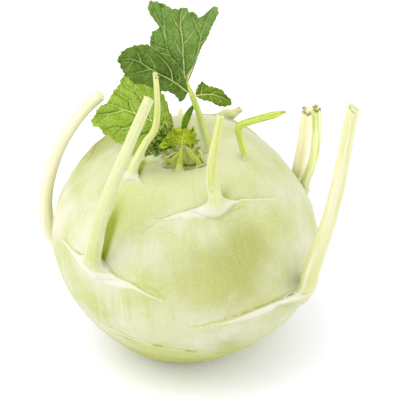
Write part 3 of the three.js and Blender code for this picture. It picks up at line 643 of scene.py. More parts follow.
def patch_share(middle, halves, turn, rise):
    """How far each place belongs to a patch of skin: 1 in its middle, less past its half widths."""
    aside = turn_between(middle[0], turn) / halves[0]
    above = (rise - middle[1]) / halves[1]
    return np.exp(-(aside ** 2) - above ** 2)


def bulb_radius(turn, rise):
    """How far the skin is from the bulb's middle in each direction."""
    around = np.radians(turn)
    up = np.radians(rise)
    squareness = 0.75 * np.cos(2 * up) + 1.25 * np.cos(4 * up)
    top_to_bottom = 0.3 * np.sin(3 * up) - 0.7 * np.sin(up)
    left_to_right = (0.2 * np.sin(2 * up) - 1.25 * np.sin(4 * up)) * np.cos(around)
    smooth = BULB_RADIUS + squareness + top_to_bottom + left_to_right
    east = smooth * np.cos(up) * np.cos(around) - CROWN_X
    north = smooth * np.cos(up) * np.sin(around) - CROWN_Y
    dent = CROWN_DEPTH * np.exp(-(east * east + north * north) / CROWN_SPREAD ** 2)
    relief = sum(scar_relief(scar, turn, rise) for scar in SCARS.values())
    for middle, halves, height in SWELLS:
        relief = relief + height * patch_share(middle, halves, turn, rise)
    for middle, halves, spacing, depth in PLEATS:
        aside = turn_between(middle[0], turn)
        wave = np.sin((aside + 1.6 * np.sin(aside * 0.21)) * 2 * math.pi / spacing + rise * 0.04)
        relief = relief + depth * patch_share(middle, halves, turn, rise) * wave
    return smooth - np.where(rise > 0, dent, 0) + relief


def on_bulb(turn, rise, lift=0.0):
    """Places lift mm above the skin."""
    around = np.radians(turn)
    up = np.radians(rise)
    radius = bulb_radius(turn, rise) + lift
    flat = radius * np.cos(up)
    height = radius * np.sin(up) + BULB_MIDDLE_HEIGHT
    return np.stack([flat * np.cos(around), flat * np.sin(around), height], axis=-1)


def root_place(root, lift=0.0):
    """The place of a root, given as (turn, rise), lift mm above the skin."""
    return on_bulb(*np.array(root, dtype=float), lift)


def bearings(points):
    """The turn, rise and distance from the bulb's middle of each point."""
    from_middle = points - BULB_MIDDLE
    distance = np.linalg.norm(from_middle, axis=-1)
    turn = np.degrees(np.arctan2(from_middle[..., 1], from_middle[..., 0]))
    rise = np.degrees(np.arcsin(from_middle[..., 2] / np.maximum(distance, 1e-6)))
    return turn, rise, distance


def scar_values(turn, rise):
    """The height above the nearest scar line, how clear that scar is, and the way past its hem."""
    line = np.full(turn.shape, FAR_OFF)
    presence = np.zeros(turn.shape)
    hem = np.full(turn.shape, FAR_OFF)
    for scar in SCARS.values():
        along, above = scar_place(scar, turn, rise)
        fade = scar.mark * np.clip(1 - along * along, 0, 1) * (1 - eased(np.abs(above), 6, 9.5))
        nearer = fade > presence
        line = np.where(nearer, above, line)
        presence = np.where(nearer, fade, presence)
        depth, left, right = scar.pale
        reach = np.where(turn_between(scar.middle[0], turn) < 0, left, right)
        depth = depth * np.clip(1 - along / reach, 0, 1) ** 0.8
        hem = np.where(nearer, np.clip(-above - depth, -FAR_OFF, FAR_OFF), hem)
    return {"line": line, "scar": presence, "hem": hem}


def path_place(points, path, out=None):
    """For each point, the signed distance from a path, and the share of the path it lies beside."""
    best = np.full(len(points), 99.0)
    share = np.zeros(len(points))
    for order, (start, end) in enumerate(zip(path, path[1:])):
        way = end - start
        side = np.cross(way, start - BULB_MIDDLE if out is None else out)
        reach = np.clip((points - start) @ way / (way @ way), 0, 1)
        offset = points - start - reach[:, None] * way
        far = np.linalg.norm(offset, axis=1)
        nearer = far < np.abs(best)
        best = np.where(nearer, np.where(offset @ side < 0, -far, far), best)
        share = np.where(nearer, (order + reach) / (len(path) - 1), share)
    return best, share


def mark_values(points):
    """The distance across the nearest fine mark in half widths, and how clear each kind is."""
    values = {kind: np.zeros(len(points)) for kind in MARKS}
    values["mark"] = np.full(len(points), FAR_OFF)
    for kind, marks in MARKS.items():
        for half_width, places in marks:
            path = smooth_line(on_bulb(*np.array(places, dtype=float).T), 4 * len(places))
            middle = path.mean(axis=0)
            size = np.linalg.norm(path - middle, axis=1).max() + MARK_REACH[1] + 0.5
            close = np.flatnonzero(np.linalg.norm(points - middle, axis=1) < size)
            across, share = path_place(points[close], path)
            fade = eased(share, 0, MARK_TAPER) * (1 - eased(share, 1 - MARK_TAPER, 1))
            fade = fade * (1 - eased(np.abs(across), *MARK_REACH))
            across = across / half_width
            nearer = (np.abs(across) < np.abs(values["mark"][close])) & (fade > 0)
            values["mark"][close[nearer]] = across[nearer]
            for other in MARKS:
                values[other][close[nearer]] = fade[nearer] if other == kind else 0
    return values


def painted_shadow_values(points):
    """How much painted shadow each place on the skin gets from the stalk to its left, along the light's
    way.
    """
    groove = np.zeros(len(points))
    shadow_light = unit(np.array(PAINTED_SHADOW_LIGHT))
    for stalk in STALKS.values():
        shade = stalk.shade
        if shade is None:
            continue
        line, radius = stalk_line(stalk)
        root = int((BURIED + LIFTED) / STALK_STEP)
        count = int(shade.length / STALK_STEP)
        line = line[root:root + count]
        line = np.vstack([line[0] - 5 * unit(line[3] - line[0]), line])
        radius = np.append(radius[root], radius[root:root + count])
        close = np.flatnonzero(np.linalg.norm(points - line[count // 2], axis=1) < shade.length)
        near_points = points[close]
        across, share = path_place(near_points - (near_points @ shadow_light)[:, None] * shadow_light,
                                   line - (line @ shadow_light)[:, None] * shadow_light, shadow_light)
        gap = across - np.interp(share, np.linspace(0, 1, len(radius)), radius)
        width = shade.width * (0.4 + share)
        near = np.where(gap > 0, np.exp(-(gap / width) ** 2), eased(across, 0, 1.5))
        near = near * (1 - eased(share, 0.4, 1))
        groove[close] = np.maximum(groove[close], shade.strength * near)
    return groove


def skin_values(points):
    """What the skin's colour needs to know at each point: scars, marks, painted stalk shadows and the
    crown.
    """
    turn, rise, _ = bearings(points)
    values = {**scar_values(turn, rise), **mark_values(points)}
    far = [np.linalg.norm(points - root_place(stalk.root), axis=-1) for stalk in STALKS.values()]
    values["apart"] = eased(np.min(far, axis=0), 3.5, 7)
    over = np.where(values["scar"] > 0.05, eased(values["line"], -0.6, 0.2), 1)
    values["groove"] = painted_shadow_values(points) * over
    east = points[..., 0] - CROWN_X
    north = points[..., 1] - CROWN_Y
    values["crown"] = np.where(points[..., 2] > BULB_MIDDLE_HEIGHT, np.hypot(east, north), 60)
    return values


# ---- meshes from places -------------------------------------------------------------------------


class Form:
    """Points in mm, faces and values for each point, which can be joined."""

    def __init__(self, points, faces, values=None):
        self.points = np.asarray(points, dtype=float)
        self.faces = [tuple(face) for face in faces]
        self.values = {name: np.asarray(value, dtype=float) for name, value in (values or {}).items()}

    def add(self, other):
        shift = len(self.points)
        for name in set(self.values) | set(other.values):
            mine = self.values.get(name, np.zeros(shift))
            theirs = other.values.get(name, np.zeros(len(other.points)))
            self.values[name] = np.concatenate([mine, theirs])
        self.points = np.vstack([self.points, other.points])
        self.faces += [tuple(corner + shift for corner in face) for face in other.faces]
        return self

    def object(self, name, material):
        mesh = bpy.data.meshes.new(name)
        mesh.from_pydata((self.points * MM).tolist(), [], self.faces)
        mesh.materials.append(material)
        mesh.polygons.foreach_set("use_smooth", [True] * len(mesh.polygons))
        for value_name, value in self.values.items():
            attribute = mesh.attributes.new(value_name, "FLOAT", "POINT")
            attribute.data.foreach_set("value", value.astype(np.float32))
        mesh.validate()
        mesh.update()
        piece = bpy.data.objects.new(name, mesh)
        bpy.context.scene.collection.objects.link(piece)
        return piece


def sheet_faces(rows, columns, closed=False, start=0, flip=False):
    """The quads between rows of points; closed joins each row's last point to its first."""
    faces = []
    for row in range(rows - 1):
        for column in range(columns if closed else columns - 1):
            beside = (column + 1) % columns
            here = start + row * columns
            face = (here + column, here + beside, here + columns + beside, here + columns + column)
            faces.append(face[::-1] if flip else face)
    return faces


def two_sided_faces(rows, columns, flip):
    """The quads of a thin sheet: its upper side, its under side, whose points come next, and its rim."""
    grid = np.arange(rows * columns).reshape(rows, columns)
    rim = np.concatenate([grid[0], grid[1:, -1], grid[-1, -2::-1], grid[-2:0:-1, 0]])
    beside = np.roll(rim, -1)
    rim_faces = np.column_stack([rim, rim + grid.size, beside + grid.size, beside])
    faces = (rim_faces[:, ::-1] if flip else rim_faces).tolist()
    faces += sheet_faces(rows, columns, flip=flip)
    return faces + sheet_faces(rows, columns, start=grid.size, flip=not flip)


def fan_faces(ring, middle, flip=False):
    """The triangles from a closed ring of corners to one middle corner."""
    faces = [(ring[i], ring[(i + 1) % len(ring)], middle) for i in range(len(ring))]
    return [face[::-1] for face in faces] if flip else faces


def kept(piece, slot, *nodes):
    """Attaches a piece to the body it rides and hides the solids it stands for; slot is not used."""
    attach(piece, BODY)
    if nodes:
        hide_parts(*nodes)


# ---- finishes -----------------------------------------------------------------------------------


def shown(red, green, blue):
    """The surface colour that looks like this screen colour in the studio's light."""
    def linear(part):
        share = part / 255
        return share / 12.92 if share < 0.04045 else ((share + 0.055) / 1.055) ** 2.4

    return tuple(SURFACE_LEVEL * linear(part) for part in (red, green, blue)) + (1,)


class Value:
    """A socket that can stand in a sum: each operator adds its Math node."""

    def __init__(self, nodes, socket):
        self.nodes = nodes
        self.socket = socket

    def __add__(self, other):
        return self.nodes.maths("ADD", self, other)

    __radd__ = __add__

    def __sub__(self, other):
        return self.nodes.maths("SUBTRACT", self, other)

    def __rsub__(self, other):
        return self.nodes.maths("SUBTRACT", other, self)

    def __mul__(self, other):
        return self.nodes.maths("MULTIPLY", self, other)

    __rmul__ = __mul__

    def step(self, low, high):
        """0 at low and 1 at high, with a smooth rise between them."""
        settings = {"interpolation_type": "SMOOTHSTEP"}
        return self.nodes.node("ShaderNodeMapRange", settings,
                               {"Value": self, "From Min": low, "From Max": high})

    def hump(self, middle, width):
        """1 at middle, falling smoothly to 0 at width to each side."""
        return 1 - self.nodes.maths("ABSOLUTE", self - middle).step(0, width)


class Nodes:
    """A tree of nodes, and the one way to add any of them."""

    def __init__(self, tree):
        self.tree = tree

    def node(self, kind, settings=None, inputs=None, output=0):
        node = self.tree.nodes.new(kind)
        for name, setting in (settings or {}).items():
            setattr(node, name, setting)
        for name, value in (inputs or {}).items():
            if isinstance(value, Value):
                self.tree.links.new(value.socket, node.inputs[name])
            else:
                node.inputs[name].default_value = value
        return Value(self, node.outputs[output]) if node.outputs else None

    def maths(self, operation, first, second=0.0):
        return self.node("ShaderNodeMath", {"operation": operation}, {0: first, 1: second})

    def vector(self, operation, first, inputs, output=0):
        return self.node("ShaderNodeVectorMath", {"operation": operation}, {0: first, **inputs}, output)


class Finish(Nodes):
    """A material. Its places are in mm, as the tables' are."""

    def __init__(self, name):
        self.material = bpy.data.materials.new(name)
        self.material.use_nodes = True
        super().__init__(self.material.node_tree)
        self.tree.nodes.clear()
        metres = self.node("ShaderNodeTexCoord", output="Object")
        self.places = self.vector("SCALE", metres, {"Scale": 1 / MM})

    def height(self):
        return self.node("ShaderNodeSeparateXYZ", None, {0: self.places}, "Z")

    def value(self, name):
        """A value kept on the mesh."""
        settings = {"attribute_name": name, "attribute_type": "GEOMETRY"}
        return self.node("ShaderNodeAttribute", settings, output="Fac")

    def cloud(self, size, places=None, detail=2.0):
        """Noise of 0 to 1 with lumps of size mm."""
        scaled = self.vector("SCALE", places or self.places, {"Scale": 1 / size})
        inputs = {"Vector": scaled, "Scale": 1.0, "Detail": detail, "Roughness": 0.5}
        return self.node("ShaderNodeTexNoise", None, inputs)

    def cells(self, feature, scale):
        """The distance from the middles of a net of cells, or from their edges."""
        inputs = {"Vector": self.places, "Scale": scale, "Randomness": 1.0}
        return self.node("ShaderNodeTexVoronoi", {"feature": feature}, inputs)

    def near(self, middle, spread, strength=1):
        """strength at a place, falling smoothly to 0 at spread mm from it."""
        distance = self.vector("DISTANCE", self.places, {1: Vector(middle)}, "Value")
        return (1 - distance.step(0, spread)) * strength

    def mixed(self, share, first, second):
        settings = {"data_type": "RGBA", "clamp_factor": True}
        return self.node("ShaderNodeMix", settings, {0: share, 6: first, 7: second}, output=2)

    def layered(self, colour, layers):
        """The colour with thin layers over it, each with its share and its tone, lowest first."""
        for share, tone in layers:
            colour = self.mixed(share, colour, shown(*tone))
        return colour

    def surface(self, colour, roughness, constants, relief=None, depth=0.0):
        """The material with this colour and roughness, and a relief depth mm deep."""
        inputs = {"Base Color": colour, "Roughness": roughness, **constants}
        if relief is not None:
            bump = {"Height": relief, "Strength": 1.0, "Distance": depth * MM}
            inputs["Normal"] = self.node("ShaderNodeBump", None, bump)
        shader = self.node("ShaderNodeBsdfPrincipled", None, inputs)
        self.node("ShaderNodeOutputMaterial", None, {"Surface": shader})
        return self.material


def streak_places(finish):
    """Places that run round the bulb, squeezed along its height, so that noise on them streaks."""
    flat = finish.vector("MULTIPLY", finish.places, {1: Vector((1, 1, 0))})
    round_stem = finish.vector("SCALE", finish.vector("NORMALIZE", flat, {}), {"Scale": BULB_RADIUS})
    height = finish.vector("MULTIPLY", finish.places, {1: Vector((0, 0, STREAK_SQUEEZE))})
    return finish.vector("ADD", round_stem, {1: height})


def skin_colour(finish):
    """The skin's colour and relief, from its place and the values kept on the mesh."""
    broad = finish.cloud(17, detail=3.0)
    patches = finish.cloud(8, detail=3.0)
    haze = finish.cloud(26, finish.vector("ADD", finish.places, {1: Vector((90, 20, 50))}), 3.0)
    fibres = finish.cloud(1.5, streak_places(finish), 3.0)
    mottle = finish.cloud(1.1, detail=4.0)
    height = finish.height()
    crown = finish.value("crown")
    # A pinkish bloom, with painted light on the left flank where the light wraps round it.
    bloom_and_edge_light = haze.step(0.42, 0.66) * 0.45
    bloom_and_edge_light = bloom_and_edge_light + sum(finish.near(*patch) for patch in BLOOM_AND_EDGE_LIGHT) * broad.step(0.2, 0.6)
    olive = sum(finish.near(*patch) for patch in OLIVE_PATCHES).step(0, 1) * patches.step(0.1, 0.5)
    fresh = sum(finish.near(*patch) for patch in FRESH_PATCHES).step(0, 1) * patches.step(0.2, 0.6)
    low = 1 - (height + (patches - 0.5) * 8).step(14, 27)
    # The crown's hollow is darker green: partly its own fresher skin, partly painted shade under the
    # leaves.
    hollow_tint_and_shade = 1 - (crown + (mottle - 0.5) * 6).step(4.5, 8.5)
    layers = [
        (patches.step(0.42, 0.66) * 0.5, (208, 214, 126)),
        (bloom_and_edge_light.step(0, 1), (240, 236, 214)),
        (olive * 0.95, (186, 190, 102)),
        (fresh * 0.5, (205, 212, 126)),
        (low * 0.95, (186, 192, 50)),
        ((1 - crown.step(9, 30)) * 0.8, (240, 243, 186)),
        (hollow_tint_and_shade * 0.85, (178, 188, 30)),
        (fibres.step(0.45, 0.75) * 0.3, (205, 212, 136)),
        (mottle.step(0.4, 0.75) * (0.28 - 0.16 * olive), (238, 238, 204)),
    ]

    # The skin under a leaf scar's line is pale down to its hem, and the line itself is drawn over it:
    # a dark seam just above it, partly its own dashes and partly painted shade in the crease, and a
    # painted highlight on the lip just below it.
    line = finish.value("line")
    scar = finish.value("scar")
    hem = finish.value("hem")
    beside = scar.step(0, 0.5) * finish.value("apart")
    below = (0 - line).step(0.2, 0.9)
    wander = (mottle - 0.5) * 1.2 + (patches - 0.5) * 2
    bottom = below * scar.step(0.1, 0.5) * (1 - height.step(24, 31))
    pale = below * (1 - (hem + wander).step(-1.3, 0.5)) * scar.step(0.05, 0.4)
    hem_line = (hem + wander * 0.4).hump(0.2, 0.7) * below * scar.step(0.15, 0.6)
    dash = finish.cloud(5).step(0.35, 0.6)
    layers += [
        (bottom * 0.5, (202, 210, 76)),
        (pale * 0.9, (243, 239, 222)),
        (hem_line * patches.step(0.4, 0.6) * 0.4, (190, 204, 108)),
        # Dark seam in the crease above the line: partly its own dashes, partly painted shade.
        (line.hump(0.35, 0.6) * beside * (0.25 + 0.5 * dash), (182, 190, 96)),
        # Painted highlight on the scar's lip just below the line.
        (line.hump(-0.35, 0.5) * beside * height.step(25, 31) * 0.75, (246, 245, 225)),
    ]

    # Painted shadow of the stalks on the skin to their right, in darker green.
    groove = finish.value("groove")
    layers += [(groove.step(0, 0.7) * 0.65, (184, 198, 84)), (groove.step(0.35, 0.85), (150, 166, 8))]

    mark = (finish.value("mark") + (mottle - 0.5) * 1.6).hump(0, 0.9) * mottle.step(0.1, 0.35)
    layers += [(mark * finish.value(kind) * strength, tone)
               for kind, (strength, tone) in MARK_TONES.items()]

    freckle = 1 - finish.cells("F1", 0.42).step(0.06, 0.16)
    chosen = finish.cloud(4.5, detail=1.0).step(0.48, 0.6) * (0.35 + olive)
    layers.append((freckle * chosen * 0.6, (150, 128, 70)))

    ground = finish.mixed(broad.step(0.35, 0.65), shown(206, 212, 134), shown(226, 230, 194))
    return finish.layered(ground, layers), fibres * 0.3 + mottle * 0.4


def skin_finish():
    finish = Finish("skin")
    colour, relief = skin_colour(finish)
    constants = {"Specular IOR Level": 0.35, "Subsurface Weight": 0.12, **SUBSURFACE}
    return finish.surface(colour, 0.46 + 0.12 * finish.cloud(6), constants, relief, 0.12)


def stalk_finish(name, low, high, stripe, stripes):
    """A stalk's colour runs from low at its foot to high at its cut, with stripes along its ribs."""
    finish = Finish(name + " stalk")
    skin, _ = skin_colour(finish)
    along = finish.value("along")
    turned = finish.value("around") * (2 * math.pi)
    inputs = {0: finish.maths("COSINE", turned) * 2.2, 1: finish.maths("SINE", turned) * 2.2,
              2: along * 2.5}
    fibres = finish.cloud(0.9, finish.node("ShaderNodeCombineXYZ", None, inputs), 3.0)
    mottle = finish.cloud(2.0, detail=3.0)
    colour = finish.mixed(along.step(0.05, 0.6), shown(*low), shown(*high))
    colour = finish.layered(colour, [
        (fibres.step(0.42, 0.62) * stripes, stripe),
        (mottle.step(0.5, 0.8) * 0.2, (250, 250, 230)),
    ])
    foot = (finish.value("foot") + (mottle - 0.5) * 0.3).step(0.35, 0.95)
    tip = finish.value("tip")
    dry = (tip + (finish.cloud(1.7, detail=3.0) - 0.5) * 7).step(0.5, 1.3) * tip.step(0.02, 0.3)
    colour = finish.layered(finish.mixed(foot, colour, skin), [
        # Painted highlight along the ridges at the sides of the foot, over its pale edges.
        (finish.value("edge") * 0.8, (245, 244, 222)),
        (dry * 0.9, (146, 118, 52)),
        (finish.value("pith").step(0.2, 0.6), (232, 228, 190)),
    ])
    constants = {"Specular IOR Level": 0.4, "Subsurface Weight": 0.4, **SUBSURFACE}
    return finish.surface(colour, 0.42 + 0.1 * mottle, constants, fibres * 0.6 + mottle * 0.2, 0.12)


def leaf_finish(name, dark, light, veins, back, fringe=FRINGE, fold_shade=None):
    """A leaf: mottled between dark and light, with pale veins and a fine net between them."""
    finish = Finish(name)
    vein = finish.value("vein")
    veinlet = finish.value("veinlet")
    net = finish.cells("DISTANCE_TO_EDGE", 0.62)
    mottle = finish.cloud(3.5, detail=3.0)
    grain = finish.cloud(0.55)
    layers = [(grain.step(0.35, 0.75) * 0.35, dark)]
    # Painted shade where the blade folds over.
    if fold_shade:
        layers.append((finish.near(*fold_shade) * 0.8, (58, 88, 24)))
    fringe_start, fringe_strength = fringe
    layers += [
        ((1 - net.step(0, 0.09)) * 0.16, veins),
        ((1 - veinlet.step(-0.04, 0.06)) * 0.7, veins),
        ((1 - vein.step(-0.14, 0.02)) * 0.95, veins),
        (finish.value("margin").step(fringe_start, 0.995) * fringe_strength, veins),
        (finish.value("under") * 0.5, back),
    ]
    colour = finish.mixed(mottle.step(0.25, 0.75), shown(*dark), shown(*light))
    relief = vein.step(0, 0.9) * 0.8 + veinlet.step(0, 0.5) * 0.35 + net.step(0, 0.3) * 0.3
    return finish.surface(finish.layered(colour, layers), 0.52 + 0.12 * grain,
                          {"Specular IOR Level": 0.12}, relief + grain * 0.25, 0.7)


# ---- paths made solid by geometry nodes ---------------------------------------------------------


class Tree(Nodes):
    """A geometry node tree, whose named inputs are set by their identifiers."""

    def __init__(self, name, inputs):
        super().__init__(bpy.data.node_groups.new(name, "GeometryNodeTree"))
        faces = self.tree.interface
        faces.new_socket("Geometry", in_out="INPUT", socket_type="NodeSocketGeometry")
        self.identifiers = {}
        for input_name, kind in inputs.items():
            socket = faces.new_socket(input_name, in_out="INPUT", socket_type=kind)
            self.identifiers[input_name] = socket.identifier
        faces.new_socket("Geometry", in_out="OUTPUT", socket_type="NodeSocketGeometry")
        self.start = self.tree.nodes.new("NodeGroupInput")
        self.end = self.tree.nodes.new("NodeGroupOutput")

    def given(self, name):
        return Value(self, self.start.outputs[name])

    def finish_with(self, geometry):
        real = self.node("GeometryNodeRealizeInstances", None, {0: geometry})
        smooth = self.node("GeometryNodeSetShadeSmooth", None, {"Geometry": real})
        painted = self.node("GeometryNodeSetMaterial", None,
                            {"Geometry": smooth, "Material": self.given("Finish")})
        self.tree.links.new(painted.socket, self.end.inputs[0])

    def made_from(self, source, settings):
        """The plain mesh that this tree makes from an object, which is then taken away."""
        modifier = source.modifiers.new("made", "NODES")
        modifier.node_group = self.tree
        for name, setting in settings.items():
            modifier[self.identifiers[name]] = setting
        bpy.context.view_layer.update()
        graph = bpy.context.evaluated_depsgraph_get()
        mesh = bpy.data.meshes.new_from_object(source.evaluated_get(graph), depsgraph=graph)
        source.modifiers.remove(modifier)
        data = source.data
        bpy.data.objects.remove(source)
        bpy.data.curves.remove(data)
        return mesh


def ribbed_tube_tree():
    """Sweeps a ribbed ring along each curve, as thick as the curve's radius says."""
    tree = Tree("ribbed tube", {"Sides": "NodeSocketInt", "Ribs": "NodeSocketInt",
                                "Rib Depth": "NodeSocketFloat", "Seed": "NodeSocketFloat",
                                "Finish": "NodeSocketMaterial"})
    seed = tree.given("Seed")

    def with_share(curve, name):
        """The curve, whose points keep their share of its length under a name."""
        share = tree.node("GeometryNodeSplineParameter", output="Factor")
        return tree.node("GeometryNodeStoreNamedAttribute", {"data_type": "FLOAT", "domain": "POINT"},
                         {"Geometry": curve, "Name": name, "Value": share})

    def unevenness(place, scale):
        noise_inputs = {"Vector": place, "W": seed, "Scale": scale, "Detail": 1.0}
        return tree.node("ShaderNodeTexNoise", {"noise_dimensions": "4D"}, noise_inputs) - 0.5

    spine = with_share(tree.given("Geometry"), "share")
    circle = tree.node("GeometryNodeCurvePrimitiveCircle", {"mode": "RADIUS"},
                       {"Resolution": tree.given("Sides"), "Radius": 1.0})
    ring = with_share(circle, "around")
    around = tree.node("GeometryNodeSplineParameter", output="Factor")
    wave = tree.maths("SINE", around * tree.given("Ribs") * (2 * math.pi) + seed)
    place = tree.node("GeometryNodeInputPosition")
    grown = 0.95 + wave * tree.given("Rib Depth") + unevenness(place, 1.3) * RING_UNEVENNESS
    ribbed = tree.node("GeometryNodeSetPosition", None,
                       {"Geometry": ring, "Position": tree.vector("SCALE", place, {"Scale": grown})})
    tube = tree.node("GeometryNodeCurveToMesh", None,
                     {"Curve": spine, "Profile Curve": ribbed, "Fill Caps": False,
                      "Scale": tree.node("GeometryNodeInputRadius")})
    lump = unevenness(tree.node("GeometryNodeInputPosition"), LUMPS_IN_A_METRE) * LUMP_HEIGHT * MM
    swell = tree.vector("SCALE", tree.node("GeometryNodeInputNormal"), {"Scale": lump})
    tree.finish_with(tree.node("GeometryNodeSetPosition", None, {"Geometry": tube, "Offset": swell}))
    return tree


def path_curve(lines, radii):
    """A curve object with one open run of points for each line, each point as thick as its radius."""
    curve = bpy.data.curves.new("path", "CURVE")
    curve.dimensions = "3D"
    for line, radius in zip(lines, radii):
        spline = curve.splines.new("POLY")
        spline.points.add(len(line) - 1)
        flat = np.column_stack([line * MM, np.ones(len(line))]).ravel()
        spline.points.foreach_set("co", flat)
        spline.points.foreach_set("radius", np.asarray(radius) * MM)
    source = bpy.data.objects.new("path", curve)
    bpy.context.scene.collection.objects.link(source)
    return source


def mesh_points(mesh):
    points = np.empty(len(mesh.vertices) * 3)
    mesh.vertices.foreach_get("co", points)
    return points.reshape(-1, 3) / MM


def mesh_value(mesh, name):
    value = np.empty(len(mesh.vertices))
    mesh.attributes[name].data.foreach_get("value", value)
    return value


# ---- the bulb -----------------------------------------------------------------------------------


def gathered_rises(turn, rise):
    """Rises moved towards the scar lines, so that the mesh is finest where the ledges are."""
    for scar in SCARS.values():
        along, above = scar_place(scar, turn, rise)
        pull = GATHER_SHARE * np.clip(1 - along ** 4, 0, 1) * np.exp(-((above / GATHER_REACH) ** 2))
        rise = rise - np.degrees(pull * above / BULB_RADIUS)
    return rise


def bulb_form():
    """The whole skin: a grid of turns and rises, with a pole at the bottom and at the top."""
    turns = np.linspace(-180, 180, BULB_COLUMNS, endpoint=False)
    rises = np.linspace(-90, 90, BULB_ROWS + 1)[1:-1]
    turn, rise = np.meshgrid(turns, rises)
    rise = np.sort(gathered_rises(turn, rise), axis=0)
    points = on_bulb(turn, rise).reshape(-1, 3)
    out = unit(points - BULB_MIDDLE)
    swell = sum(height * lumps(points, size, seed) for height, size, seed in SKIN_LUMPS)
    streaked = np.column_stack([out[:, :2] * STREAKS_ROUND, points[:, 2] / STREAK_LENGTH])
    swell = swell + STREAK_HEIGHT * lumps(streaked, 1.0, STREAK_SEED)
    points = points + out * swell[:, None]
    top_pole = root_place((0, 89.9)) * (0, 0, 1)
    points = np.vstack([points, [0, 0, 0], top_pole])
    points[:, 2] = np.maximum(points[:, 2], 0)

    below_poles = len(points) - 2
    faces = sheet_faces(len(rises), BULB_COLUMNS, closed=True)
    faces += fan_faces(range(BULB_COLUMNS), below_poles, flip=True)
    faces += fan_faces(range(below_poles - BULB_COLUMNS, below_poles), below_poles + 1)
    return Form(points, faces, skin_values(points))


# ---- stalks -------------------------------------------------------------------------------------


def stalk_line(stalk):
    """The stalk's whole middle line, from inside the bulb to its end, and its radius along it."""
    points = np.vstack([root_place(stalk.root, -BURIED), root_place(stalk.root, LIFTED), stalk.path])
    count = int(length_of(points) / STALK_STEP)
    line = smooth_line(points, count)
    places, radii = zip(*stalk.radius)
    return line, np.interp(np.linspace(0, 1, count), places, radii)


def scar_way(stalk):
    """The way along the skin at a stalk's root, towards larger turns."""
    turn, rise = stalk.root
    return unit(root_place((turn + 0.5, rise)) - root_place((turn - 0.5, rise)))


def footprint(stalk, angle):
    """Where a foot meets the skin at an angle round it: 0 along the scar, a quarter turn up."""
    turn, rise = stalk.root
    foot = stalk.foot
    along = np.cos(angle)
    up = np.sin(angle)
    across = np.where(along > 0, foot.right, foot.left) * np.sign(along) * np.abs(along) ** 1.9
    lift = np.where(up > 0, foot.above, foot.below) * np.sign(up) * np.abs(up) ** 1.7
    place = turn + np.degrees(across / (BULB_RADIUS * math.cos(math.radians(rise))))
    nearest = None
    for scar in SCARS.values():
        share, above = scar_place(scar, np.float64(turn), np.float64(rise))
        if abs(share) < 1 and abs(above) < 6 and (nearest is None or abs(above) < nearest[1]):
            nearest = (scar, abs(above), above)
    drop = np.zeros(angle.shape)
    if nearest:
        _, offset = scar_place(nearest[0], place, np.full(angle.shape, rise))
        drop = (offset - nearest[2] * (1 - np.abs(along)) + 0.5 * np.abs(along)) * np.abs(along)
    return place, rise + np.degrees((lift - drop) / BULB_RADIUS)


def foot_form(stalk, line, radius, ring, around):
    """The flared base between the skin and the stalk's lowest ring, and how near the ring's corners
    are to its two sides. line runs from root to ring."""
    ways = unit(np.gradient(line, axis=0))
    inner = unit(np.cross(ways[-1], scar_way(stalk)))
    spread = ring - ring.mean(axis=0)
    angle = np.arctan2(spread @ inner, spread @ unit(np.cross(inner, ways[-1])))
    turn, rise = footprint(stalk, angle)
    edge = on_bulb(turn, rise, -FOOT_SUNK)
    upper = np.clip(np.sin(angle), 0, 1)
    lower = np.clip(-np.sin(angle), 0, 1)
    tightness = HUG_BESIDE + (HUG_ABOVE - HUG_BESIDE) * upper + (HUG_BELOW - HUG_BESIDE) * lower
    shares = np.linspace(0, 1, FOOT_ROWS)[:-1] ** 1.5
    rows = []
    base = None
    for share in shares:
        place = share * (len(line) - 1)
        low = min(int(place), len(line) - 2)
        middle = line[low] + (line[low + 1] - line[low]) * (place - low)
        way = Vector(ways[low] + (ways[low + 1] - ways[low]) * (place - low))
        turned = np.array(Vector(ways[-1]).rotation_difference(way).to_matrix())
        grown = radius[low] / radius[-1]
        wall = middle + (spread * grown) @ turned.T
        base = wall if base is None else base
        point = wall + (edge - base) * ((1 - share) ** tightness)[:, None]
        turns, rises, distance = bearings(point)
        floor = bulb_radius(turns, rises) - FOOT_SUNK + 0.45 * min(1.0, share * 6)
        rows.append(BULB_MIDDLE + unit(point - BULB_MIDDLE) * np.maximum(distance, floor)[:, None])
    points = np.vstack(rows)
    beside = np.exp(-((np.abs(np.cos(angle)) - 1) / FOOT_EDGE_WIDTH) ** 2)
    values = {"foot": np.repeat(1 - shares, len(ring)), "around": np.tile(around, FOOT_ROWS - 1),
              "edge": np.tile(beside * stalk.foot.rim, FOOT_ROWS - 1), **skin_values(points),
              "groove": np.zeros(len(points))}
    return Form(points, sheet_faces(FOOT_ROWS - 1, len(ring), closed=True), values), beside


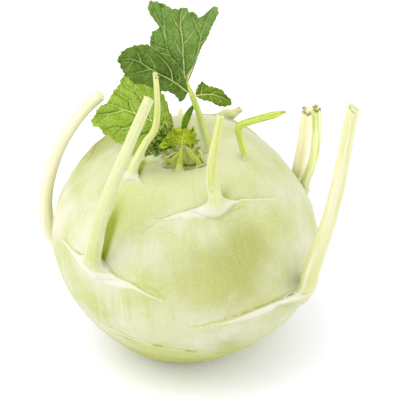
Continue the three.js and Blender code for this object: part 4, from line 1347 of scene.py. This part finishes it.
def stalk_form(name, stalk, tree, finish):
    """A stalk: its flared foot, its ribbed length and its cut face, as one mesh."""
    line, radius = stalk_line(stalk)
    shares = np.linspace(0, 1, len(line))
    run = shares * length_of(line)
    first = int(np.argmax(run >= min(BURIED + stalk.foot.height, 0.7 * run[-1])))
    source = path_curve([line[first:]], [radius[first:]])
    seed = 1.0 + len(name) * 0.7
    mesh = tree.made_from(source, {"Sides": STALK_SIDES, "Ribs": RIBS, "Rib Depth": RIB_DEPTH,
                                   "Seed": seed, "Finish": finish})
    rows = len(mesh.vertices) // STALK_SIDES
    points = mesh_points(mesh).reshape(rows, STALK_SIDES, 3)
    order = ring_order(points)
    points = points[:, order]
    around, share = (mesh_value(mesh, value).reshape(rows, STALK_SIDES)[:, order]
                     for value in ("around", "share"))
    bpy.data.meshes.remove(mesh)

    root = int(np.argmin(np.abs(run - BURIED)))
    low = slice(root, first + 1)
    foot, beside = foot_form(stalk, line[low], radius[low], points[0], around[0])
    ends = unit(line[-1] - line[-2])
    points = cut_end(points, ends, radius[-1], stalk.cut, seed)
    grown = share * length_of(line[first:])
    tip = eased(grown, grown.max() - BROWN_REACH, grown.max()) * stalk.cut.brown
    edge = stalk.foot.rim * beside * (1 - eased(grown, *EDGE_HIGHLIGHT_FADE))
    tube = Form(points.reshape(-1, 3), sheet_faces(rows, STALK_SIDES, closed=True),
                {"along": (shares[first] + share * (1 - shares[first])).ravel(),
                 "around": around.ravel(), "tip": tip.ravel(), "edge": edge.ravel()})
    return joined_stalk(foot, tube, cap_form(points[-1], ends, around[-1], stalk.cut))


def ring_order(rings):
    """The order in which a ring's points turn anticlockwise about the way the stalk runs."""
    direction = rings[1].mean(axis=0) - rings[0].mean(axis=0)
    spread = rings[0] - rings[0].mean(axis=0)
    order = np.arange(STALK_SIDES)
    return order if np.cross(spread[0], spread[1]) @ direction > 0 else order[::-1]


def cut_end(points, direction, radius, cut, seed):
    """The last rings, with the uneven slant of a cut or snapped end."""
    middle = points[-1].mean(axis=0)
    lean = unit(np.cross(direction, [0.3, 0.4, 0.86]))
    for row in range(-3, 0):
        reach = (row + 4) / 3
        spread = points[row] - middle
        slant = cut.slant * (spread @ lean) / radius
        rough = 0.25 * lumps(points[row] * 1.7, 1.0, seed)
        points[row] += (slant + rough)[:, None] * direction * reach
    return points


def cap_form(ring, direction, around, cut):
    """The cut face: a rounded rim, then a shallow dish of pith, or a dome where dish is negative."""
    middle = ring.mean(axis=0)
    rows = [ring]
    for size, lift in CAP_RINGS:
        depth = lift * cut.dish if lift < 0 else lift
        rows.append(middle + (ring - middle) * size + direction * depth)
    points = np.vstack(rows + [middle[None] - direction * CAP_MIDDLE * cut.dish])
    count = len(ring)
    last = len(rows) * count
    faces = sheet_faces(len(rows), count, closed=True) + fan_faces(range(last - count, last), last)
    size = np.append(np.repeat([1] + [size for size, _ in CAP_RINGS], count), 0)
    values = {"pith": cut.pith * (1 - eased(size, 0.72, 0.95)),
              "tip": cut.brown * (1 - cut.pith * (1 - eased(size, 0.5, 0.9))),
              "along": np.ones(len(points)), "around": np.append(np.tile(around, len(rows)), 0)}
    return Form(points, faces, values)


def joined_stalk(foot, tube, cap):
    """The three parts as one mesh, with the foot's last row closed onto the tube's first."""
    last_row = len(foot.points) - STALK_SIDES
    form = foot.add(tube)
    form.faces += sheet_faces(2, STALK_SIDES, closed=True, start=last_row)
    return form.add(cap)


# ---- blades -------------------------------------------------------------------------------------


def teeth_along(line, spacing, seed):
    """How small uneven saw teeth move each point of an outline, to its left."""
    chance = random.Random(seed)
    run = run_along(steps_of(line))
    places = [0.0]
    while places[-1] < run[-1]:
        places.append(places[-1] + spacing * chance.uniform(*TOOTH_LENGTHS))
    depths = [TOOTH_DEPTH + TOOTH_DEPTH_RANGE * chance.random() for _ in places]
    index = np.searchsorted(places, run, side="right") - 1
    starts = np.array(places)[index]
    ends = np.array(places + [places[-1] + spacing])[index + 1]
    share = (run - starts) / (ends - starts)
    profile = np.where(share < TOOTH_PEAK, share / TOOTH_PEAK, (1 - share) / (1 - TOOTH_PEAK)) - 0.5
    fade = eased(run, 0, 3) * (1 - eased(run, run[-1] - 1.5, run[-1]))
    way = unit(np.gradient(line, axis=0))
    normal = np.column_stack([-way[:, 1], way[:, 0]])
    return normal * (profile * np.array(depths)[index] * fade)[:, None]


def away(points, line):
    """The distance of each point in a sheet from a run of straight pieces, and how far along it."""
    best = np.full(len(points), 1e9)
    share = np.zeros(len(points))
    steps = steps_of(line)
    total = steps.sum()
    before = 0.0
    for start, end, step in zip(line[:-1], line[1:], steps):
        way = (end - start) / step
        place = np.clip((points - start) @ way, 0, step)
        far = np.linalg.norm(points - start - place[:, None] * way, axis=1)
        nearer = far < best
        best = np.where(nearer, far, best)
        share = np.where(nearer, (before + place) / total, share)
        before += step
    return best, share


def blade_frame(blade):
    """The blade's own axes as columns: across, up and out of its sheet."""
    lean = math.radians(90 - blade["lean"])
    yaw = math.radians(blade["yaw"])
    tip = np.array([[1, 0, 0], [0, math.cos(lean), -math.sin(lean)],
                    [0, math.sin(lean), math.cos(lean)]])
    turn = np.array([[math.cos(yaw), -math.sin(yaw), 0], [math.sin(yaw), math.cos(yaw), 0],
                     [0, 0, 1]])
    return turn @ tip


def blade_veins(blade):
    """Every vein as a smooth line with the half width at its start and end."""
    veins = [(smooth_line(blade["midrib"], 40), *MIDRIB_WIDTHS)]
    veins += [(smooth_line(vein, 30), *VEIN_WIDTHS) for vein in blade["veins"]]
    veinlets = [(smooth_line(vein, 20), *VEINLET_WIDTHS) for vein in blade["veinlets"]]
    return veins, veinlets


def vein_distance(points, veins):
    """How far each point is outside the nearest vein's edge."""
    nearest = np.full(len(points), 1e9)
    for line, start_width, end_width in veins:
        far, share = away(points, line)
        nearest = np.minimum(nearest, far - (start_width + (end_width - start_width) * share))
    return nearest


def blade_height(blade, flat, across, vein, veinlet):
    """How far the blade stands out of its sheet: its bend, waved margin and puckers."""
    longest = max(math.hypot(*place) for place in blade["left"] + blade["right"])
    reach = np.hypot(flat[:, 0], flat[:, 1]) / longest
    padded = np.column_stack([flat, np.zeros(len(flat))])
    direction = np.arctan2(flat[:, 0], flat[:, 1])
    height = blade["bend"] * reach ** 2
    height += blade["wave"] * np.abs(across) ** 2 * reach * np.sin(direction * blade["waves"] + 0.7)
    frill = blade.get("frill", 0.0) * np.abs(across) ** 2
    height += frill * (np.sin(direction * 25) + 0.6 * np.sin(direction * 41 + reach * 6))
    height += 0.45 * np.abs(across) ** 3 * lumps(padded, 2.6, 4)
    height += 0.5 * lumps(padded, 6.5, 5) * eased(reach, 0.1, 0.5)
    pucker = 0.42 * eased(vein, 0.0, 1.6) + 0.12 * eased(veinlet, 0.0, 0.8)
    return height + pucker * (1 - 0.5 * np.abs(across) ** 2)


def sheet_grid(blade, seed):
    """The rows of places from the left edge over the midrib to the right edge, in the blade's sheet,
    and how far across each column is: -1 at the left edge and 1 at the right."""
    midrib = smooth_line(blade["midrib"], MIDRIB_POINTS)
    sides = []
    for side, sign in (("left", 1), ("right", -1)):
        outline = np.vstack([blade[side], midrib[-1]])
        line = smooth_line(outline, int(length_of(outline) / BLADE_SPACING * 1.4))
        sides.append(line + sign * teeth_along(line, blade["teeth"], seed))
    shares = [np.linspace(0, 1, len(line)) ** blade["fan"] for line in sides]
    rows = np.unique(np.round(np.concatenate(shares), 5))
    rows = rows[np.concatenate([[True], np.diff(rows) > 2.5e-3])]
    middle = np.column_stack([np.interp(rows, np.linspace(0, 1, MIDRIB_POINTS), midrib[:, i])
                              for i in (0, 1)])
    centre = np.mean(blade["midrib"], axis=0)
    widest = max(np.linalg.norm(line - centre, axis=1).max() for line in sides)
    steps = np.linspace(0, 1, max(10, int(widest / BLADE_SPACING / 1.6)) + 1)
    strips = []
    for line, share in zip(sides, shares):
        edge = np.column_stack([np.interp(rows, share, line[:, i]) for i in (0, 1)])
        strips.append(middle[:, None] + steps[None, :, None] * (edge - middle)[:, None])
    grid = np.concatenate([strips[0][:, ::-1], strips[1][:, 1:]], axis=1)
    return grid, np.concatenate([-steps[::-1], steps[1:]])


def blade_form(blade, seed):
    """A thin leaf blade with its veins and puckers, given its thickness on both sides."""
    flat, across = sheet_grid(blade, seed)
    rows, columns = flat.shape[:2]
    flat = flat.reshape(-1, 2)
    across = np.tile(across, rows)
    vein, veinlet = (vein_distance(flat, lines) for lines in blade_veins(blade))
    surface = np.column_stack([flat, blade_height(blade, flat, across, vein, veinlet)])
    grid = surface.reshape(rows, columns, 3)
    normal = unit(np.cross(np.gradient(grid, axis=1), np.gradient(grid, axis=0))).reshape(-1, 3)
    normal[normal[:, 2] < 0] *= -1
    half_thin = normal * BLADE_THICKNESS / 2 * (1 - 0.6 * np.abs(across)[:, None] ** 6)
    points = np.vstack([surface + half_thin, surface - half_thin])

    here = grid[rows // 2, 0]
    ahead = np.cross(grid[rows // 2, 1] - here, grid[rows // 2 + 1, 0] - here)
    values = {"vein": np.tile(vein, 2), "veinlet": np.tile(veinlet, 2),
              "margin": np.tile(np.abs(across), 2), "under": np.repeat([0, 1], len(surface))}
    return Form(points @ blade_frame(blade).T + blade["base"],
                two_sided_faces(rows, columns, ahead[2] < 0), values)


def leaflet_blade(base, yaw, lean, size):
    """A small crinkled leaf: the leaflet's outline at a size and place."""
    def grown(line):
        return [(across * size, up * size) for across, up in line]

    blade = {"base": base, "yaw": yaw, "lean": lean, "fan": LEAFLET["fan"], "bend": 0.5 * size / 4,
             "wave": 0.5, "waves": 6, "teeth": 0.8, "frill": 0.35}
    blade.update({part: grown(LEAFLET[part]) for part in ("midrib", "left", "right")})
    blade.update({part: [grown(line) for line in LEAFLET[part]] for part in ("veins", "veinlets")})
    return blade


def rolled_form():
    """A young leaf still rolled up: a spiral section that swells and closes to a point."""
    line = smooth_line(ROLL_PATH, ROLL_ROWS)
    places, radii = zip(*ROLL_RADIUS)
    radius = np.interp(np.linspace(0, 1, ROLL_ROWS), places, radii)
    side = unit(np.cross(unit(np.gradient(line, axis=0)), [0, 1, 0]))
    out = unit(np.cross(side, unit(np.gradient(line, axis=0))))
    share = np.linspace(-1, 1, ROLL_COLUMNS)
    angle = share * math.pi * ROLL_TURNS + 0.5
    crinkles = 0.05 * np.sin(share[None] * 40 + np.linspace(0, 9, ROLL_ROWS)[:, None])
    layers = []
    for lift in (0.16, -0.16):
        size = radius[:, None] * (0.8 + 0.16 * share[None]) + lift + crinkles
        layers.append(line[:, None] + side[:, None] * (size * np.cos(angle)[None])[..., None]
                      - out[:, None] * (size * np.sin(angle)[None])[..., None])
    ribs = np.abs((share * 7 + 0.5) % 1 - 0.5) * 2.4
    values = {"vein": np.tile(np.abs(share) * 3, 2 * ROLL_ROWS), "veinlet": np.tile(ribs, 2 * ROLL_ROWS),
              "margin": np.tile(np.abs(share), 2 * ROLL_ROWS),
              "under": np.repeat([0, 0.6], ROLL_ROWS * ROLL_COLUMNS)}
    return Form(np.reshape(layers, (-1, 3)), two_sided_faces(ROLL_ROWS, ROLL_COLUMNS, True), values)


# ---- light, floor and camera --------------------------------------------------------------------


def floor_finish():
    finish = Finish("floor")
    grain = finish.cloud(40, detail=3.0)
    colour = finish.mixed(grain, (0.9, 0.9, 0.99, 1), (0.92, 0.92, 1, 1))
    return finish.surface(colour, 0.8 + 0.1 * grain, {"Specular IOR Level": 0.2})


def make_stage():
    """The floor, the sky's even light, the lamps and the camera."""
    half = FLOOR_SIZE / 2
    corners = [(-half, -half, 0), (half, -half, 0), (half, half, 0), (-half, half, 0)]
    floor = Form(corners, [(0, 1, 2, 3)]).object("floor", floor_finish())

    world = bpy.data.worlds.new("studio")
    world.use_nodes = True
    sky = world.node_tree.nodes["Background"]
    sky.inputs["Color"].default_value = (1, 1, 1, 1)
    sky.inputs["Strength"].default_value = SKY_STRENGTH
    bpy.context.scene.world = world

    for name, (place, width, power) in LAMPS.items():
        light = bpy.data.lights.new(name, "AREA")
        light.shape = "DISK"
        light.size = width * MM
        light.energy = power
        holder = bpy.data.objects.new(name, light)
        holder.location = Vector(place) * MM
        facing = Vector(LAMP_TARGET) - Vector(place)
        holder.rotation_euler = facing.to_track_quat("-Z", "Y").to_euler()
        bpy.context.scene.collection.objects.link(holder)

    camera_data = bpy.data.cameras.new("camera")
    camera_data.lens = CAMERA_LENS
    camera_data.sensor_width = SENSOR_WIDTH
    camera_data.clip_start = 0.01
    camera = bpy.data.objects.new("camera", camera_data)
    camera.location = Vector(CAMERA_PLACE) * MM
    camera.rotation_euler = (math.radians(CAMERA_TILT), 0, 0)
    bpy.context.scene.collection.objects.link(camera)
    bpy.context.scene.camera = camera
    bpy.context.scene.view_settings.view_transform = "Standard"


# ---- the plant ----------------------------------------------------------------------------------

make_stage()

kept(bulb_form().object("bulb_skin", skin_finish()), "skin", "bulb")

stalk_finishes = {name: stalk_finish(name, *tones) for name, tones in STALK_TONES.items()}
tube_tree = ribbed_tube_tree()
for stalk_name, stalk in STALKS.items():
    finish = stalk_finishes[stalk.finish]
    piece = stalk_form(stalk_name, stalk, tube_tree, finish).object(stalk_name + "_piece", finish)
    kept(piece, stalk.slot, stalk_name)

leaf_finishes = {name: leaf_finish(name, *tones) for name, tones in LEAF_TONES.items()}
for order, (blade_name, blade) in enumerate(BLADES.items()):
    form = blade_form(blade, SEED + order)
    piece = form.object(blade_name + "_piece", leaf_finishes[blade["finish"]])
    kept(piece, blade["slot"], blade_name)

curly_leaf = leaf_finishes["curly leaf"]
kept(rolled_form().object("rolled_leaf_piece", curly_leaf), "curly_leaf", "rolled_leaf")

leaflets = blade_form(leaflet_blade(*LEAFLETS[0]), SEED)
for order, leaflet in enumerate(LEAFLETS[1:], 1):
    leaflets.add(blade_form(leaflet_blade(*leaflet), SEED + order))
kept(leaflets.object("heart_leaflets", curly_leaf), "curly_leaf")

sprig_lines = [smooth_line(np.vstack([root_place(root, -1.0), path]), SPRIG_POINTS)
               for root, path in SPRIGS]
sprig_radii = [np.linspace(*SPRIG_RADII, SPRIG_POINTS)] * len(SPRIGS)
sprig_mesh = tube_tree.made_from(path_curve(sprig_lines, sprig_radii),
                                 {"Sides": SPRIG_SIDES, "Ribs": SPRIG_RIBS, "Rib Depth": RIB_DEPTH,
                                  "Seed": SPRIG_SEED, "Finish": stalk_finishes["heart"]})
sprigs = bpy.data.objects.new("heart_sprigs", sprig_mesh)
bpy.context.scene.collection.objects.link(sprigs)
kept(sprigs, "green_stalk")
